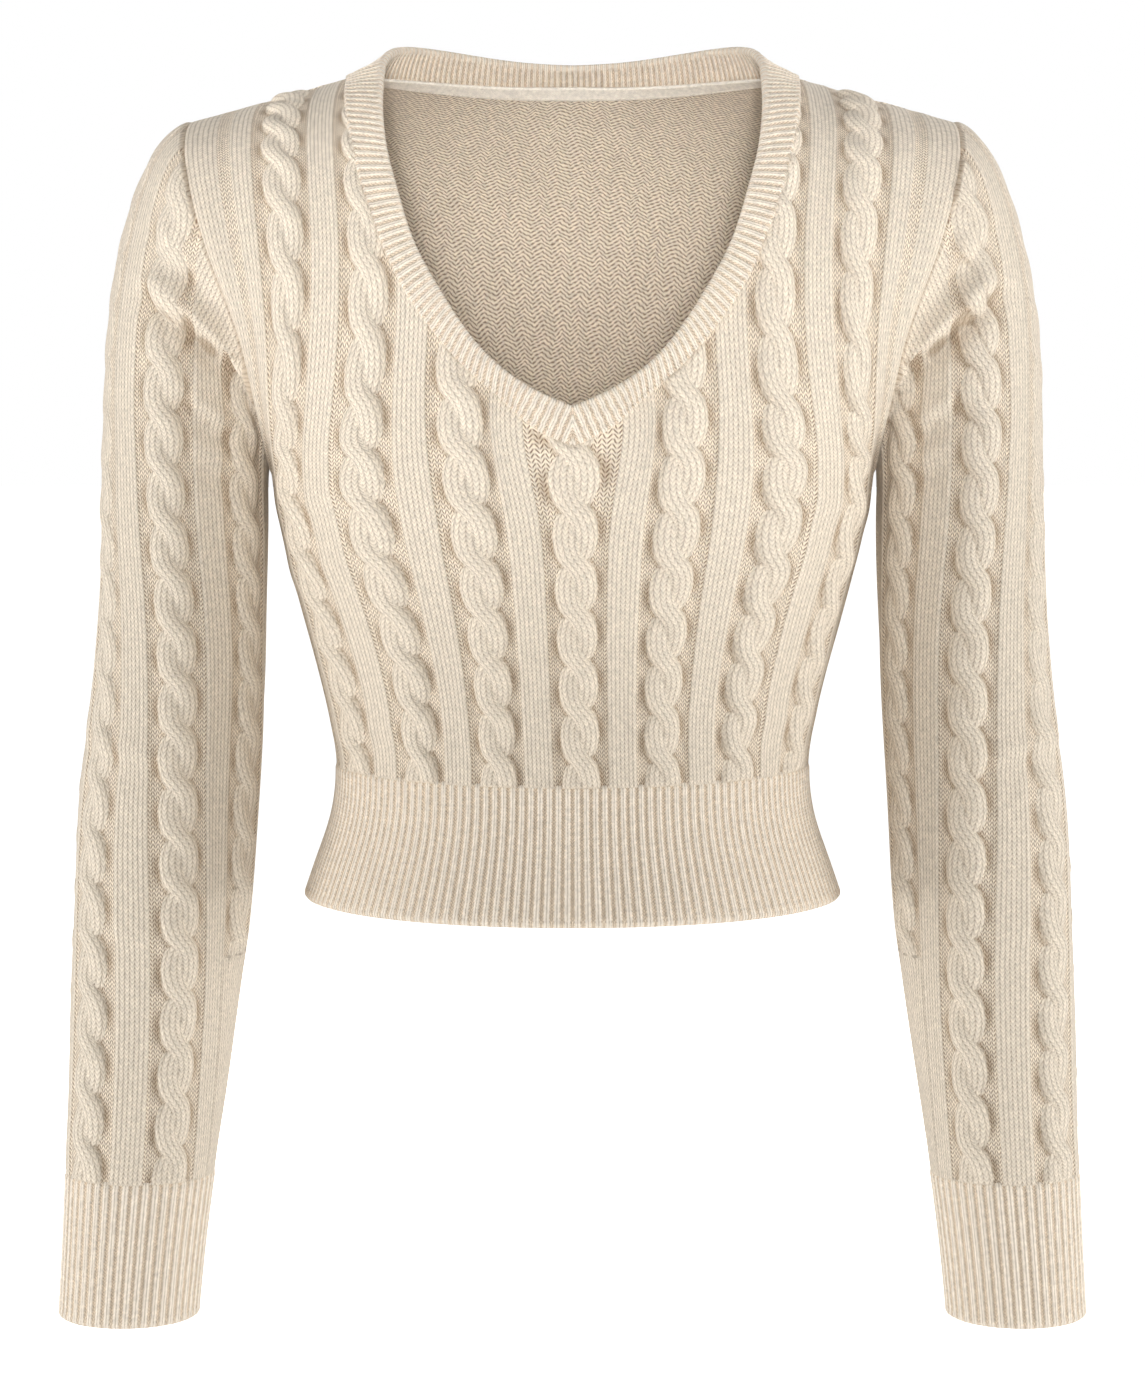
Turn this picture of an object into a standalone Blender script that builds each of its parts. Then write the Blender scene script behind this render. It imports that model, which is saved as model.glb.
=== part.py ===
"""Cropped V-neck cable-knit sweater, filled out as it is worn, with nobody in it.

Metres, +Z up. The front faces -Y and the wearer's left is at +X. The origin is where the
shoulders carry the garment: on the middle plane, level with the tips of the shoulder seams.
Every piece is a closed wall of cloth, and neighbours stop short of a seam they share.
"""

import math

import bmesh
import bpy
import numpy as np
from mathutils import Vector
from mathutils.geometry import delaunay_2d_cdt

MM = 0.001

# Cloth
WALL = 2.5 * MM
SEAM_GAP = 0.3 * MM
TAPE_WALL = 1.0 * MM
TAPE_GAP = 0.8 * MM
TAPE_WIDTH = 6.5 * MM

# Facets
NECK_COLUMNS = 8  # from the middle of a panel to the neck point
SHOULDER_COLUMNS = 4  # from the neck point to the armhole
RIB_ROWS = 3
SIDE_ROWS = 7  # from the hem rib to the underarm
ARMHOLE_ROWS = 10  # from the underarm to the shoulder
CAP_ROWS = 6
SLEEVE_ROWS = 12
BAND_ROWS = 2
ARC_STEPS = 120
NUDGE = 0.002  # of a column or a level, for slopes
NECK_WEIGHT = 2.0  # how much more the neck seam counts than the hem in placing columns
LEAST_ROW = 0.012  # a row that would end closer than this to the neck seam is left out
COLUMN_SPAN = 0.20  # metres, about half of the panel's width
LEVEL_SPAN = 0.48  # metres, about the panel's length
SEARCH_STEPS = 400
NECK_SEARCH = (0.3, 0.9)  # columns between which the neck point lies
SMALLEST = 1e-7

# Levels and points, millimetres
UNDERARM_ROW = 8  # rows of the body tables that end a stretch
RIB_TOP_ROW = 3
NECK_POINT_X = 111.0
CUFF_TOP_Z = -523.0
CUFF_END_Z = -592.5

# The body in horizontal sections, from the hem up to the shoulder seam, millimetres.
# centre_*: the middle of the panel. edge_*: side seam, then armhole.
# square: 2 is an ellipse. turn: 2 ends square to the side, 1 stays shallow.
# lean: how late a section drops towards its edge. share_1 to share_3: where the first,
# second and third cable lie between the middle and the edge.
BODY_COLUMNS = (
    "centre_z", "centre_y", "edge_x", "edge_y", "edge_z",
    "square", "turn", "lean", "share_1", "share_2", "share_3",
)
FRONT_SECTIONS = (
    (-383.0, -106.0, 133.8, 0.0, -383.0, 2.05, 2.0, 2.0, 0.245, 0.490, 0.750),
    (-364.0, -100.0, 127.2, 0.0, -364.0, 2.05, 2.0, 2.0, 0.245, 0.490, 0.750),
    (-345.0, -95.5, 120.9, 0.0, -345.0, 2.05, 2.0, 2.0, 0.245, 0.490, 0.750),
    (-320.0, -94.0, 118.1, 0.0, -319.0, 2.05, 2.0, 2.0, 0.240, 0.485, 0.750),
    (-290.0, -95.8, 122.6, 0.0, -290.0, 2.05, 2.0, 2.0, 0.234, 0.473, 0.750),
    (-255.0, -102.8, 131.4, 0.0, -255.0, 2.08, 2.0, 2.0, 0.228, 0.473, 0.754),
    (-225.0, -111.8, 139.4, 0.0, -225.0, 2.10, 2.0, 2.0, 0.226, 0.482, 0.768),
    (-198.0, -119.0, 145.8, 0.0, -198.0, 2.12, 2.0, 2.0, 0.229, 0.494, 0.785),
    (-172.0, -121.5, 149.8, 0.0, -168.0, 2.15, 2.0, 2.0, 0.240, 0.505, 0.795),
    (-150.0, -118.5, 150.4, -22.0, -159.0, 2.15, 1.90, 2.0, 0.270, 0.535, 0.812),
    (-125.0, -111.0, 154.0, -43.0, -137.0, 2.15, 1.65, 2.0, 0.300, 0.563, 0.826),
    (-95.0, -99.8, 162.0, -55.0, -103.0, 2.10, 1.35, 1.8, 0.305, 0.568, 0.815),
    (-60.0, -85.5, 176.0, -55.0, -64.0, 2.00, 1.12, 1.5, 0.292, 0.545, 0.770),
    (-28.0, -70.0, 185.8, -41.5, -30.0, 2.00, 1.0, 1.2, 0.285, 0.535, 0.745),
    (3.0, -52.0, 188.7, -25.0, -11.0, 2.00, 1.0, 1.0, 0.282, 0.537, 0.742),
    (30.0, -28.0, 188.0, -8.5, -2.5, 2.00, 1.0, 1.0, 0.280, 0.540, 0.745),
    (52.3, 10.0, 186.0, 10.0, -0.5, 2.00, 1.0, 1.0, 0.280, 0.540, 0.745),
)
BACK_SECTIONS = (
    (-383.0, 97.0, 133.8, 0.0, -383.0, 2.15, 2.0, 2.0, 0.250, 0.500, 0.750),
    (-364.0, 91.0, 127.2, 0.0, -364.0, 2.15, 2.0, 2.0, 0.250, 0.500, 0.750),
    (-345.0, 86.0, 120.9, 0.0, -345.0, 2.15, 2.0, 2.0, 0.250, 0.500, 0.750),
    (-320.0, 83.0, 118.1, 0.0, -319.0, 2.15, 2.0, 2.0, 0.250, 0.500, 0.750),
    (-290.0, 83.5, 122.6, 0.0, -290.0, 2.15, 2.0, 2.0, 0.250, 0.500, 0.750),
    (-255.0, 88.0, 131.4, 0.0, -255.0, 2.15, 2.0, 2.0, 0.250, 0.500, 0.752),
    (-225.0, 93.5, 139.4, 0.0, -225.0, 2.15, 2.0, 2.0, 0.250, 0.502, 0.757),
    (-198.0, 98.5, 145.8, 0.0, -198.0, 2.18, 2.0, 2.0, 0.252, 0.507, 0.765),
    (-172.0, 102.5, 149.8, 0.0, -168.0, 2.20, 2.0, 2.0, 0.256, 0.515, 0.775),
    (-150.0, 105.0, 150.8, 21.0, -159.5, 2.20, 1.90, 2.0, 0.266, 0.530, 0.785),
    (-125.0, 106.5, 155.5, 41.0, -139.0, 2.20, 1.65, 2.0, 0.275, 0.545, 0.790),
    (-95.0, 106.5, 164.0, 53.5, -106.0, 2.20, 1.40, 1.8, 0.280, 0.550, 0.785),
    (-60.0, 103.0, 176.0, 57.5, -67.0, 2.15, 1.20, 1.5, 0.280, 0.545, 0.765),
    (-28.0, 95.5, 185.4, 50.5, -33.0, 2.10, 1.08, 1.2, 0.280, 0.540, 0.748),
    (1.0, 82.0, 189.0, 37.5, -12.5, 2.00, 1.0, 1.0, 0.280, 0.540, 0.745),
    (26.0, 61.0, 188.4, 23.5, -3.5, 2.00, 1.0, 1.0, 0.280, 0.540, 0.745),
    (43.0, 37.0, 187.2, 15.5, -1.3, 2.00, 1.0, 1.0, 0.280, 0.540, 0.745),
    (52.3, 10.0, 186.0, 10.0, -0.5, 2.00, 1.0, 1.0, 0.280, 0.540, 0.745),
)

# The front neck seam: half the width of the opening at each height, millimetres.
FRONT_NECK_COLUMNS = ("z", "x")
FRONT_NECK = (
    (-154.5, 0.0), (-148.0, 14.0), (-134.6, 30.6), (-120.7, 46.8), (-104.4, 62.3),
    (-83.9, 77.6), (-61.7, 89.0), (-42.3, 96.6), (-22.6, 102.8), (-5.5, 107.0),
    (6.5, 109.2), (21.5, NECK_POINT_X),
)
# The back neck seam: its height across the width, millimetres.
BACK_NECK_COLUMNS = ("x", "z")
BACK_NECK = (
    (0.0, 14.0), (30.0, 14.6), (60.0, 16.6), (85.0, 19.4), (100.0, 21.0), (NECK_POINT_X, 21.5),
)
# The free edge of the neckband as x, y, z in millimetres: up the front, then round the back.
BAND_FRONT = (
    (0.0, -116.3, -137.0), (20.8, -112.5, -127.6), (37.7, -106.5, -115.6),
    (51.5, -99.0, -100.2), (63.9, -88.5, -81.1), (75.6, -76.0, -59.4),
    (84.0, -61.5, -34.2), (88.9, -48.5, -16.9), (92.4, -29.0, 6.3), (93.3, 0.0, 27.5),
)
BAND_BACK = (
    (93.3, 0.0, 27.5), (89.5, 20.0, 35.5), (76.0, 40.0, 37.0),
    (51.0, 55.5, 34.0), (25.0, 63.0, 30.8), (0.0, 65.5, 29.6),
)

# The sleeve as a tube hanging from the shoulder, millimetres and degrees.
# twist: how far the knit has turned towards the body's side.
SLEEVE_COLUMNS = ("z", "centre_x", "half_width", "centre_y", "half_depth", "twist")
SLEEVE_SECTIONS = (
    (-130.0, 192.7, 39.3, 1.0, 48.5, 0.0),
    (-185.0, 192.9, 41.2, 2.0, 49.0, 0.0),
    (-235.0, 194.6, 41.9, 4.5, 47.6, 4.0),
    (-285.0, 198.1, 43.1, 6.0, 46.5, 8.5),
    (-335.0, 202.5, 44.5, 4.5, 45.5, 13.0),
    (-385.0, 205.6, 44.3, -1.0, 43.5, 17.0),
    (-435.0, 209.1, 42.1, -7.0, 40.8, 21.0),
    (-485.0, 213.4, 39.2, -13.5, 37.4, 24.0),
    (-523.0, 216.8, 37.1, -18.2, 34.6, 25.0),
    (-560.0, 220.0, 35.5, -21.4, 33.0, 25.0),
    (-592.5, 222.6, 34.8, -23.3, 32.0, 25.0),
)
# The way the sleeve's cloth faces along the armhole, on the front half of the left one.
CAP_FACING = ((0.65, 0.0, 0.76), (0.35, -0.9, 0.0), (-0.85, 0.0, -0.55))
CAP_FACING_SHARE = (0.0, 0.5, 1.0)  # shares from shoulder to underarm
UNDERARM_NORMAL = (0.30, 0.0, -0.954)  # where body and sleeve fold together
CAP_END_OUTER_Z = -130.0
CAP_END_INNER_Z = -185.0
# How the ring of the sleeve is gathered round the armhole, shares from shoulder to underarm.
ARMHOLE_SHARE = (0.0, 0.12, 0.27, 0.68, 1.0)
SLEEVE_SHARE = (0.0, 0.25, 0.475, 0.76, 1.0)

CREAM = (0.77, 0.69, 0.57, 1.0)
TAPE_CREAM = (0.83, 0.76, 0.65, 1.0)


def table(columns, rows):
    """A table as one array for each named column."""
    return {name: np.array(values, float) for name, values in zip(columns, zip(*rows))}


def spline(knots, values, at):
    """The natural cubic curve through the values at the knots, read at the given places."""
    knots = np.asarray(knots, float)
    values = np.asarray(values, float)
    at = np.asarray(at, float)
    steps = np.diff(knots)
    slopes = (np.diff(values, axis=0).T / steps).T
    matrix = np.eye(len(knots))
    right = np.zeros_like(values)
    for i in range(1, len(knots) - 1):
        matrix[i, i - 1:i + 2] = steps[i - 1], 2 * (steps[i - 1] + steps[i]), steps[i]
        right[i] = 6 * (slopes[i] - slopes[i - 1])
    bend = np.linalg.solve(matrix, right)
    i = np.clip(np.searchsorted(knots, at) - 1, 0, len(steps) - 1)
    low = (knots[i + 1] - at) / steps[i]
    high = 1 - low
    if values.ndim == 2:
        low, high, width = low[..., None], high[..., None], steps[i][..., None]
    else:
        width = steps[i]
    curve = (low**3 - low) * bend[i] + (high**3 - high) * bend[i + 1]
    return low * values[i] + high * values[i + 1] + curve * width**2 / 6


def arc_shares(points):
    """How far along a run of points each lies, from 0 to 1."""
    lengths = np.linalg.norm(np.diff(points, axis=0), axis=1)
    along = np.concatenate([[0.0], np.cumsum(lengths)])
    return along / along[-1]


def unit(vectors):
    return vectors / np.linalg.norm(vectors, axis=-1, keepdims=True)


class BodyHalf:
    """The right half of the front or the back as one surface.

    A point is found by its column, 0 in the middle and 1 at the edge, and its level, 0 at
    the hem and 1 at the shoulder seam. Columns follow the knit's wales.
    """

    def __init__(self, sections):
        self.rows = table(BODY_COLUMNS, sections)
        middle = np.stack([self.rows["centre_y"], self.rows["centre_z"]], axis=1)
        self.levels = arc_shares(middle)
        self.underarm = self.levels[UNDERARM_ROW]
        self.rib_top = self.levels[RIB_TOP_ROW]

    def read(self, name, level):
        """One column of the table, smooth between its rows; edges turn a corner at the underarm."""
        values = self.rows[name]
        if not name.startswith("edge"):
            return spline(self.levels, values, level)
        corner = UNDERARM_ROW
        below = spline(self.levels[:corner + 1], values[:corner + 1], level)
        above = spline(self.levels[corner:], values[corner:], level)
        return np.where(level <= self.underarm, below, above)

    def points(self, column, level):
        """Points of one column at an array of levels, in metres."""
        row = {name: self.read(name, level)[:, None] for name in BODY_COLUMNS}
        weights = spline((0, 0.25, 0.5, 0.75, 1), np.eye(5), column)
        share = weights[4] + sum(weights[i] * row[f"share_{i}"] for i in (1, 2, 3))

        def section(angle):
            across = np.sin(angle)
            fullness = np.clip(1 - across ** row["square"], 0, None) ** (1 / row["turn"])
            x = row["edge_x"] * across
            y = row["edge_y"] + (row["centre_y"] - row["edge_y"]) * fullness
            z = row["centre_z"] + (row["edge_z"] - row["centre_z"]) * across ** row["lean"]
            return np.stack([x, y, z], axis=-1)

        angles = np.linspace(0, math.pi / 2, ARC_STEPS)
        dense = section(np.broadcast_to(angles, (len(level), ARC_STEPS)))
        lengths = np.linalg.norm(np.diff(dense, axis=1), axis=2)
        along = np.concatenate([np.zeros((len(level), 1)), np.cumsum(lengths, axis=1)], axis=1)
        along /= along[:, -1:]
        angle = [np.interp(want, run, angles) for want, run in zip(share[:, 0], along)]
        return section(np.array(angle)[:, None])[:, 0] * MM

    def normals(self, column, level):
        """Unit normals of the surface at the same points, towards -Y on the front."""
        left, right = max(column - NUDGE, 0), min(column + NUDGE, 1)
        across = self.points(right, level) - self.points(left, level)
        low, high = np.clip(level - NUDGE, 0, 1), np.clip(level + NUDGE, 0, 1)
        up = self.points(column, high) - self.points(column, low)
        return unit(np.cross(across, up))

    def neck_column(self):
        """The column that ends at the neck point."""
        columns = np.linspace(*NECK_SEARCH, SEARCH_STEPS)
        ends = [self.points(column, np.array([1.0]))[0, 0] for column in columns]
        return float(np.interp(NECK_POINT_X * MM, ends, columns))


def front_cut(points):
    """Above 0 where a point of the front lies inside the neck opening."""
    neck = table(FRONT_NECK_COLUMNS, FRONT_NECK)
    height = np.maximum(points[:, 2] / MM, neck["z"][0] - 1)
    return spline(neck["z"], neck["x"], height) * MM - points[:, 0]


def back_cut(points):
    """Above 0 where a point of the back lies above the neck seam."""
    neck = table(BACK_NECK_COLUMNS, BACK_NECK)
    return points[:, 2] - spline(neck["x"], neck["z"], points[:, 0] / MM) * MM


def top_level(body, cut, column):
    """The level at which a column meets the neck seam."""
    levels = np.linspace(body.underarm, 1, SEARCH_STEPS)
    past = cut(body.points(column, levels))
    beyond = np.flatnonzero(past > 0)
    if not len(beyond):
        return 1.0
    i = max(beyond[0], 1)
    share = past[i] / (past[i] - past[i - 1])
    return float(levels[i] - share * (levels[i] - levels[i - 1]))


def spread_columns(body, cut):
    """Columns from the middle to the edge, even along the hem and the neck seam together."""
    neck = body.neck_column()
    trial = np.linspace(0, neck, ARC_STEPS)
    tops = [body.points(c, np.array([top_level(body, cut, c)]))[0] for c in trial]
    along = arc_shares(np.array(tops)) * NECK_WEIGHT + trial / neck
    wanted = np.linspace(0, along[-1], NECK_COLUMNS + 1)
    inner = np.interp(wanted, along, trial)
    outer = np.linspace(neck, 1, SHOULDER_COLUMNS + 1)[1:]
    return np.concatenate([inner, outer])


def ring_normals(grid):
    """Unit normals of a ring of runs: grid[place along a run, run]."""
    along = np.gradient(grid, axis=0)
    around = np.roll(grid, -1, axis=1) - np.roll(grid, 1, axis=1)
    return unit(np.cross(around, along))


def mirrored(half):
    """Points from the middle outwards, and their mirror images, in one row from -X to +X."""
    return np.concatenate([half[:0:-1] * (-1, 1, 1), half])


def in_seam_plane(normals):
    """Normals turned square to Y, the same for the two panels that meet at a seam."""
    return unit(normals * (1, 0, 1))


def pulled_back(points, runs, ends):
    """Points whose runs stop half a seam gap short at the named ends."""
    pairs = []
    if "foot" in ends:
        pairs += [(run[0], run[1]) for run in runs]
    if "top" in ends:
        pairs += [(run[-1], run[-2]) for run in runs]
    if "edge" in ends:
        pairs += list(zip(runs[-1], runs[-2]))
    points = points.copy()
    for end, inner in pairs:
        points[end] += unit(points[inner] - points[end]) * SEAM_GAP / 2
    return points


def add_object(name, vertices, faces, material, collection):
    """A mesh object whose faces point out."""
    mesh = bpy.data.meshes.new(name)
    mesh.from_pydata([tuple(v) for v in vertices], [], faces)
    edit = bmesh.new()
    edit.from_mesh(mesh)
    bmesh.ops.recalc_face_normals(edit, faces=edit.faces)
    edit.to_mesh(mesh)
    edit.free()
    mesh.shade_smooth()
    mesh.materials.append(material)
    made = bpy.data.objects.new(name, mesh)
    collection.objects.link(made)
    return made


def parted(points, a, b, c, d):
    """The square with corners a, b over c, d, parted along its shorter diagonal."""
    if math.dist(points[a], points[d]) < math.dist(points[b], points[c]):
        return [(a, b, d), (a, d, c)]
    return [(a, b, c), (b, d, c)]


def run_triangles(points, runs, ring):
    """Triangles between neighbouring runs of equal length."""
    triangles = []
    pairs = list(zip(runs, runs[1:]))
    if ring:
        pairs.append((runs[-1], runs[0]))
    for left, right in pairs:
        for square in zip(left, right, left[1:], right[1:]):
            triangles += parted(points, *square)
    return triangles


def panel_triangles(places, runs):
    """Triangles over runs of unequal length, as even as their places on the flat cloth allow."""
    foot = [run[0] for run in runs[:-1]]
    top = [run[-1] for run in runs[-2:0:-1]]
    loop = [*foot, *runs[-1], *top, *runs[0][:0:-1]]
    used = np.concatenate(runs)
    number = {point: i for i, point in enumerate(used)}
    edges = [(number[a], number[b]) for a, b in zip(loop, loop[1:] + loop[:1])]
    flat = [Vector(places[point]) for point in used]
    found = delaunay_2d_cdt(flat, edges, [], 1, SMALLEST)[2]
    return [tuple(int(used[i]) for i in triangle) for triangle in found]


def wall_object(name, outer, inner, triangles, material, collection):
    """A closed wall between two faces that share their triangles, with a rim round every edge.

    The two faces are lofted together so that neighbouring rims meet square to each other,
    which an even thickness cannot do at a folded seam.
    """
    points = np.concatenate([outer, inner])
    inside = len(outer)
    directed = [pair for a, b, c in triangles for pair in ((a, b), (b, c), (c, a))]
    paired = set(directed)
    faces = list(triangles)
    faces += [(c + inside, b + inside, a + inside) for a, b, c in triangles]
    for a, b in directed:
        if (b, a) not in paired:
            faces += parted(points, b, a, b + inside, a + inside)
    used, numbers = np.unique(np.array(faces), return_inverse=True)
    return add_object(name, points[used], numbers.reshape(-1, 3).tolist(), material, collection)


class Panel:
    """One half of the front or the back: runs of points up its columns, and both faces."""

    def __init__(self, sections, cut, facing):
        body = BodyHalf(sections)
        rows = np.concatenate([
            np.linspace(0, body.rib_top, RIB_ROWS + 1),
            np.linspace(body.rib_top, body.underarm, SIDE_ROWS + 1)[1:],
            np.linspace(body.underarm, 1, ARMHOLE_ROWS + 1)[1:],
        ])
        self.runs, places, points, normals = [], [], [], []
        for number, column in enumerate(spread_columns(body, cut)):
            top = top_level(body, cut, column) if number < NECK_COLUMNS else 1.0
            levels = np.append(rows[rows < top - LEAST_ROW], top)
            self.runs.append(np.arange(len(levels)) + len(places))
            places += [(column * COLUMN_SPAN, level * LEVEL_SPAN) for level in levels]
            points.append(body.points(column, levels))
            normals.append(body.normals(column, levels) * facing)
        self.places = places
        self.outer = np.concatenate(points)
        self.normals = self.shared(np.concatenate(normals))
        self.inner = self.outer - self.normals * WALL

    def armhole(self):
        """The points of the armhole, from the shoulder down to the underarm."""
        return self.runs[-1][RIB_ROWS + SIDE_ROWS:][::-1]

    def neck(self):
        """The points of the neck seam, from the middle to the neck point."""
        return np.array([run[-1] for run in self.runs[:NECK_COLUMNS + 1]])

    def shared(self, normals):
        """Normals that agree with the neighbour's along the middle and every seam."""
        normals[self.runs[0]] = unit(normals[self.runs[0]] * (0, 1, 1))
        side = self.runs[-1][:RIB_ROWS + SIDE_ROWS]
        shoulder = [run[-1] for run in self.runs[NECK_COLUMNS:]]
        for seam in (side, shoulder):
            normals[seam] = in_seam_plane(normals[seam])
        armhole = self.armhole()
        normals[armhole] = unit(normals[armhole] + cap_facing(self.outer[armhole]))
        normals[armhole[-1]] = UNDERARM_NORMAL
        return normals

    def piece(self, rows, ends):
        """Both faces of some of the rows at full width, and their triangles."""
        runs = [run[rows] for run in self.runs]
        half = panel_triangles(self.places, runs)
        twin = np.arange(len(self.outer)) + len(self.outer)
        twin[self.runs[0]] = self.runs[0]
        other = [(int(twin[c]), int(twin[b]), int(twin[a])) for a, b, c in half]
        faces = [pulled_back(face, runs, ends) for face in (self.outer, self.inner)]
        outer, inner = [np.concatenate([face, face * (-1, 1, 1)]) for face in faces]
        return outer, inner, half + other


def cap_facing(edge):
    """The way the sleeve faces beside each point of the armhole."""
    turned = (1, -np.sign(edge[len(edge) // 2, 1]), 1)
    facing = np.array(CAP_FACING) * turned
    share = arc_shares(edge)
    return unit(np.stack([np.interp(share, CAP_FACING_SHARE, facing[:, axis]) for axis in range(3)], axis=1))


def sleeve_tube(share, z):
    """Points of the sleeve's tube at ring shares from 0, its outer side, round the front."""
    rows = table(SLEEVE_COLUMNS, SLEEVE_SECTIONS)
    order = np.argsort(rows["z"])
    row = {name: spline(rows["z"][order], rows[name][order], z) for name in SLEEVE_COLUMNS}
    angles = np.linspace(0, 2 * math.pi, 4 * ARC_STEPS)
    points = []
    for i, want in enumerate(np.broadcast_to(share, np.shape(z))):
        start = math.radians(row["twist"][i])
        x = row["centre_x"][i] + row["half_width"][i] * np.cos(angles + start)
        y = row["centre_y"][i] - row["half_depth"][i] * np.sin(angles + start)
        ring = np.stack([x, y, np.full_like(x, z[i])], axis=1)
        along = arc_shares(ring)
        points.append([np.interp(want, along, ring[:, axis]) for axis in range(3)])
    return np.array(points) * MM


def sleeve_grids(front, back):
    """Both faces of one sleeve down to the cuff's end, round from the shoulder by the front."""
    ahead, behind = front.armhole(), back.armhole()[::-1][1:-1]
    start_outer = np.concatenate([front.outer[ahead], back.outer[behind]])
    start_inner = np.concatenate([front.inner[ahead], back.inner[behind]])
    front_share = np.interp(arc_shares(front.outer[ahead]), ARMHOLE_SHARE, SLEEVE_SHARE) / 2
    back_share = np.interp(arc_shares(back.outer[back.armhole()]), ARMHOLE_SHARE, SLEEVE_SHARE) / 2
    shares = np.concatenate([front_share, 1 - back_share[::-1][1:-1]])
    turn = np.linspace(0, math.pi / 2, CAP_ROWS + 1)
    path = np.stack([np.sin(turn), np.sin(turn), 1 - np.cos(turn)], axis=1)
    columns = []
    for share, start in zip(shares, start_outer):
        inward = (1 - math.cos(2 * math.pi * share)) / 2
        cap_end = CAP_END_OUTER_Z + (CAP_END_INNER_Z - CAP_END_OUTER_Z) * inward
        end = sleeve_tube(share, np.array([cap_end]))[0]
        arm = np.linspace(cap_end, CUFF_TOP_Z, SLEEVE_ROWS + 1)[1:]
        cuff = np.linspace(CUFF_TOP_Z, CUFF_END_Z, RIB_ROWS + 1)[1:]
        tube = sleeve_tube(share, np.concatenate([arm, cuff]))
        columns.append(np.concatenate([start + (end - start) * path, tube]))
    outer = np.stack(columns, axis=1)
    inner = outer - outward(ring_normals(outer), 0) * WALL
    along = np.roll(start_outer, -1, axis=0) - np.roll(start_outer, 1, axis=0)
    away = outward(np.cross(along, start_outer - start_inner), 0) * SEAM_GAP
    outer[0] = start_outer + away
    inner[0] = start_inner + away
    return outer, inner


def outward(vectors, axis):
    """Unit vectors, all turned over together if need be, so that the first points to + on the axis."""
    vectors = unit(vectors)
    return vectors * np.sign(vectors.reshape(-1, 3)[0, axis])


def band_grids(front, back):
    """Both faces of the neckband, round from the point of the V."""
    ahead, behind = front.neck(), back.neck()[::-1][1:]
    seam_outer = np.concatenate([front.outer[ahead], back.outer[behind]])
    seam_inner = np.concatenate([front.inner[ahead], back.inner[behind]])
    front_free, back_free = np.array(BAND_FRONT) * MM, np.array(BAND_BACK) * MM
    front_share = arc_shares(front.outer[ahead])
    back_share = arc_shares(back.outer[back.neck()[::-1]])[1:]
    free = np.concatenate([
        spline(arc_shares(front_free), front_free, front_share),
        spline(arc_shares(back_free), back_free, back_share),
    ])
    seam_outer, seam_inner, free = [
        np.concatenate([half, half[-2:0:-1] * (-1, 1, 1)]) for half in (seam_outer, seam_inner, free)
    ]
    rise = np.linspace(0, 1, BAND_ROWS + 1)[:, None, None]
    outer = seam_outer + (free - seam_outer) * rise
    inner = outer + outward(ring_normals(outer), 1) * WALL
    inner[0] = seam_inner
    step = unit(outer[1] - outer[0]) * SEAM_GAP
    outer[0] += step
    inner[0] += step
    return outer, inner


def tape_grids(back):
    """Both faces of the tape sewn inside the back neck, from one shoulder to the other."""
    neck = back.neck()
    below = np.array([run[-2] for run in back.runs[:NECK_COLUMNS + 1]])
    top = mirrored(back.inner[neck])
    down = unit(mirrored(back.inner[below]) - top)
    normals = mirrored(back.normals[neck])
    drop = np.array([SEAM_GAP, TAPE_WIDTH])[:, None, None]
    outer = top - normals * TAPE_GAP + down * drop
    return outer, outer - normals * TAPE_WALL


def grid_object(name, outer, inner, ends, ring, material, collection):
    """A closed wall between two grids of points, each read down its columns."""
    runs = np.arange(outer.shape[0] * outer.shape[1]).reshape(outer.shape[:2]).T
    faces = [pulled_back(grid.reshape(-1, 3), runs, ends) for grid in (outer, inner)]
    triangles = run_triangles(faces[0], runs.tolist(), ring)
    return wall_object(name, *faces, triangles, material, collection)


def knit_material(name, colour):
    material = bpy.data.materials.new(name)
    material.use_nodes = True
    shader = material.node_tree.nodes["Principled BSDF"]
    shader.inputs["Base Color"].default_value = colour
    shader.inputs["Roughness"].default_value = 0.9
    shader.inputs["Metallic"].default_value = 0.0
    return material


def build():
    for old in list(bpy.data.objects):
        bpy.data.objects.remove(old, do_unlink=True)
    collection = bpy.data.collections.new("cropped_knit_sweater")
    bpy.context.scene.collection.children.link(collection)

    front = Panel(FRONT_SECTIONS, front_cut, 1)
    back = Panel(BACK_SECTIONS, back_cut, -1)
    rib, cloth = slice(0, RIB_ROWS + 1), slice(RIB_ROWS, None)
    for name, panel in (("front", front), ("back", back)):
        knit = knit_material(f"cable_knit_{name}", CREAM)
        wall_object(name, *panel.piece(cloth, ("foot", "top", "edge")), knit, collection)
        ribbing = knit_material(f"hem_rib_{name}", CREAM)
        wall_object(f"hem_{name}", *panel.piece(rib, ("top", "edge")), ribbing, collection)

    sleeve = sleeve_grids(front, back)
    arm, cuff = slice(0, -RIB_ROWS), slice(-RIB_ROWS - 1, None)
    for side, sign in (("left", 1), ("right", -1)):
        outer, inner = [face * (sign, 1, 1) for face in sleeve]
        knit = knit_material(f"cable_knit_sleeve_{side}", CREAM)
        grid_object(f"sleeve_{side}", outer[arm], inner[arm], ("top",), True, knit, collection)
        ribbing = knit_material(f"cuff_rib_{side}", CREAM)
        grid_object(f"cuff_{side}", outer[cuff], inner[cuff], ("foot",), True, ribbing, collection)

    ribbing = knit_material("neck_rib", CREAM)
    grid_object("neckband", *band_grids(front, back), (), True, ribbing, collection)
    tape = knit_material("neck_tape", TAPE_CREAM)
    grid_object("neck_tape", *tape_grids(back), (), False, tape, collection)


build()
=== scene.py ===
import math

import bpy
import numpy as np
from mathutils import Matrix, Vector
from mathutils.kdtree import KDTree


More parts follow.
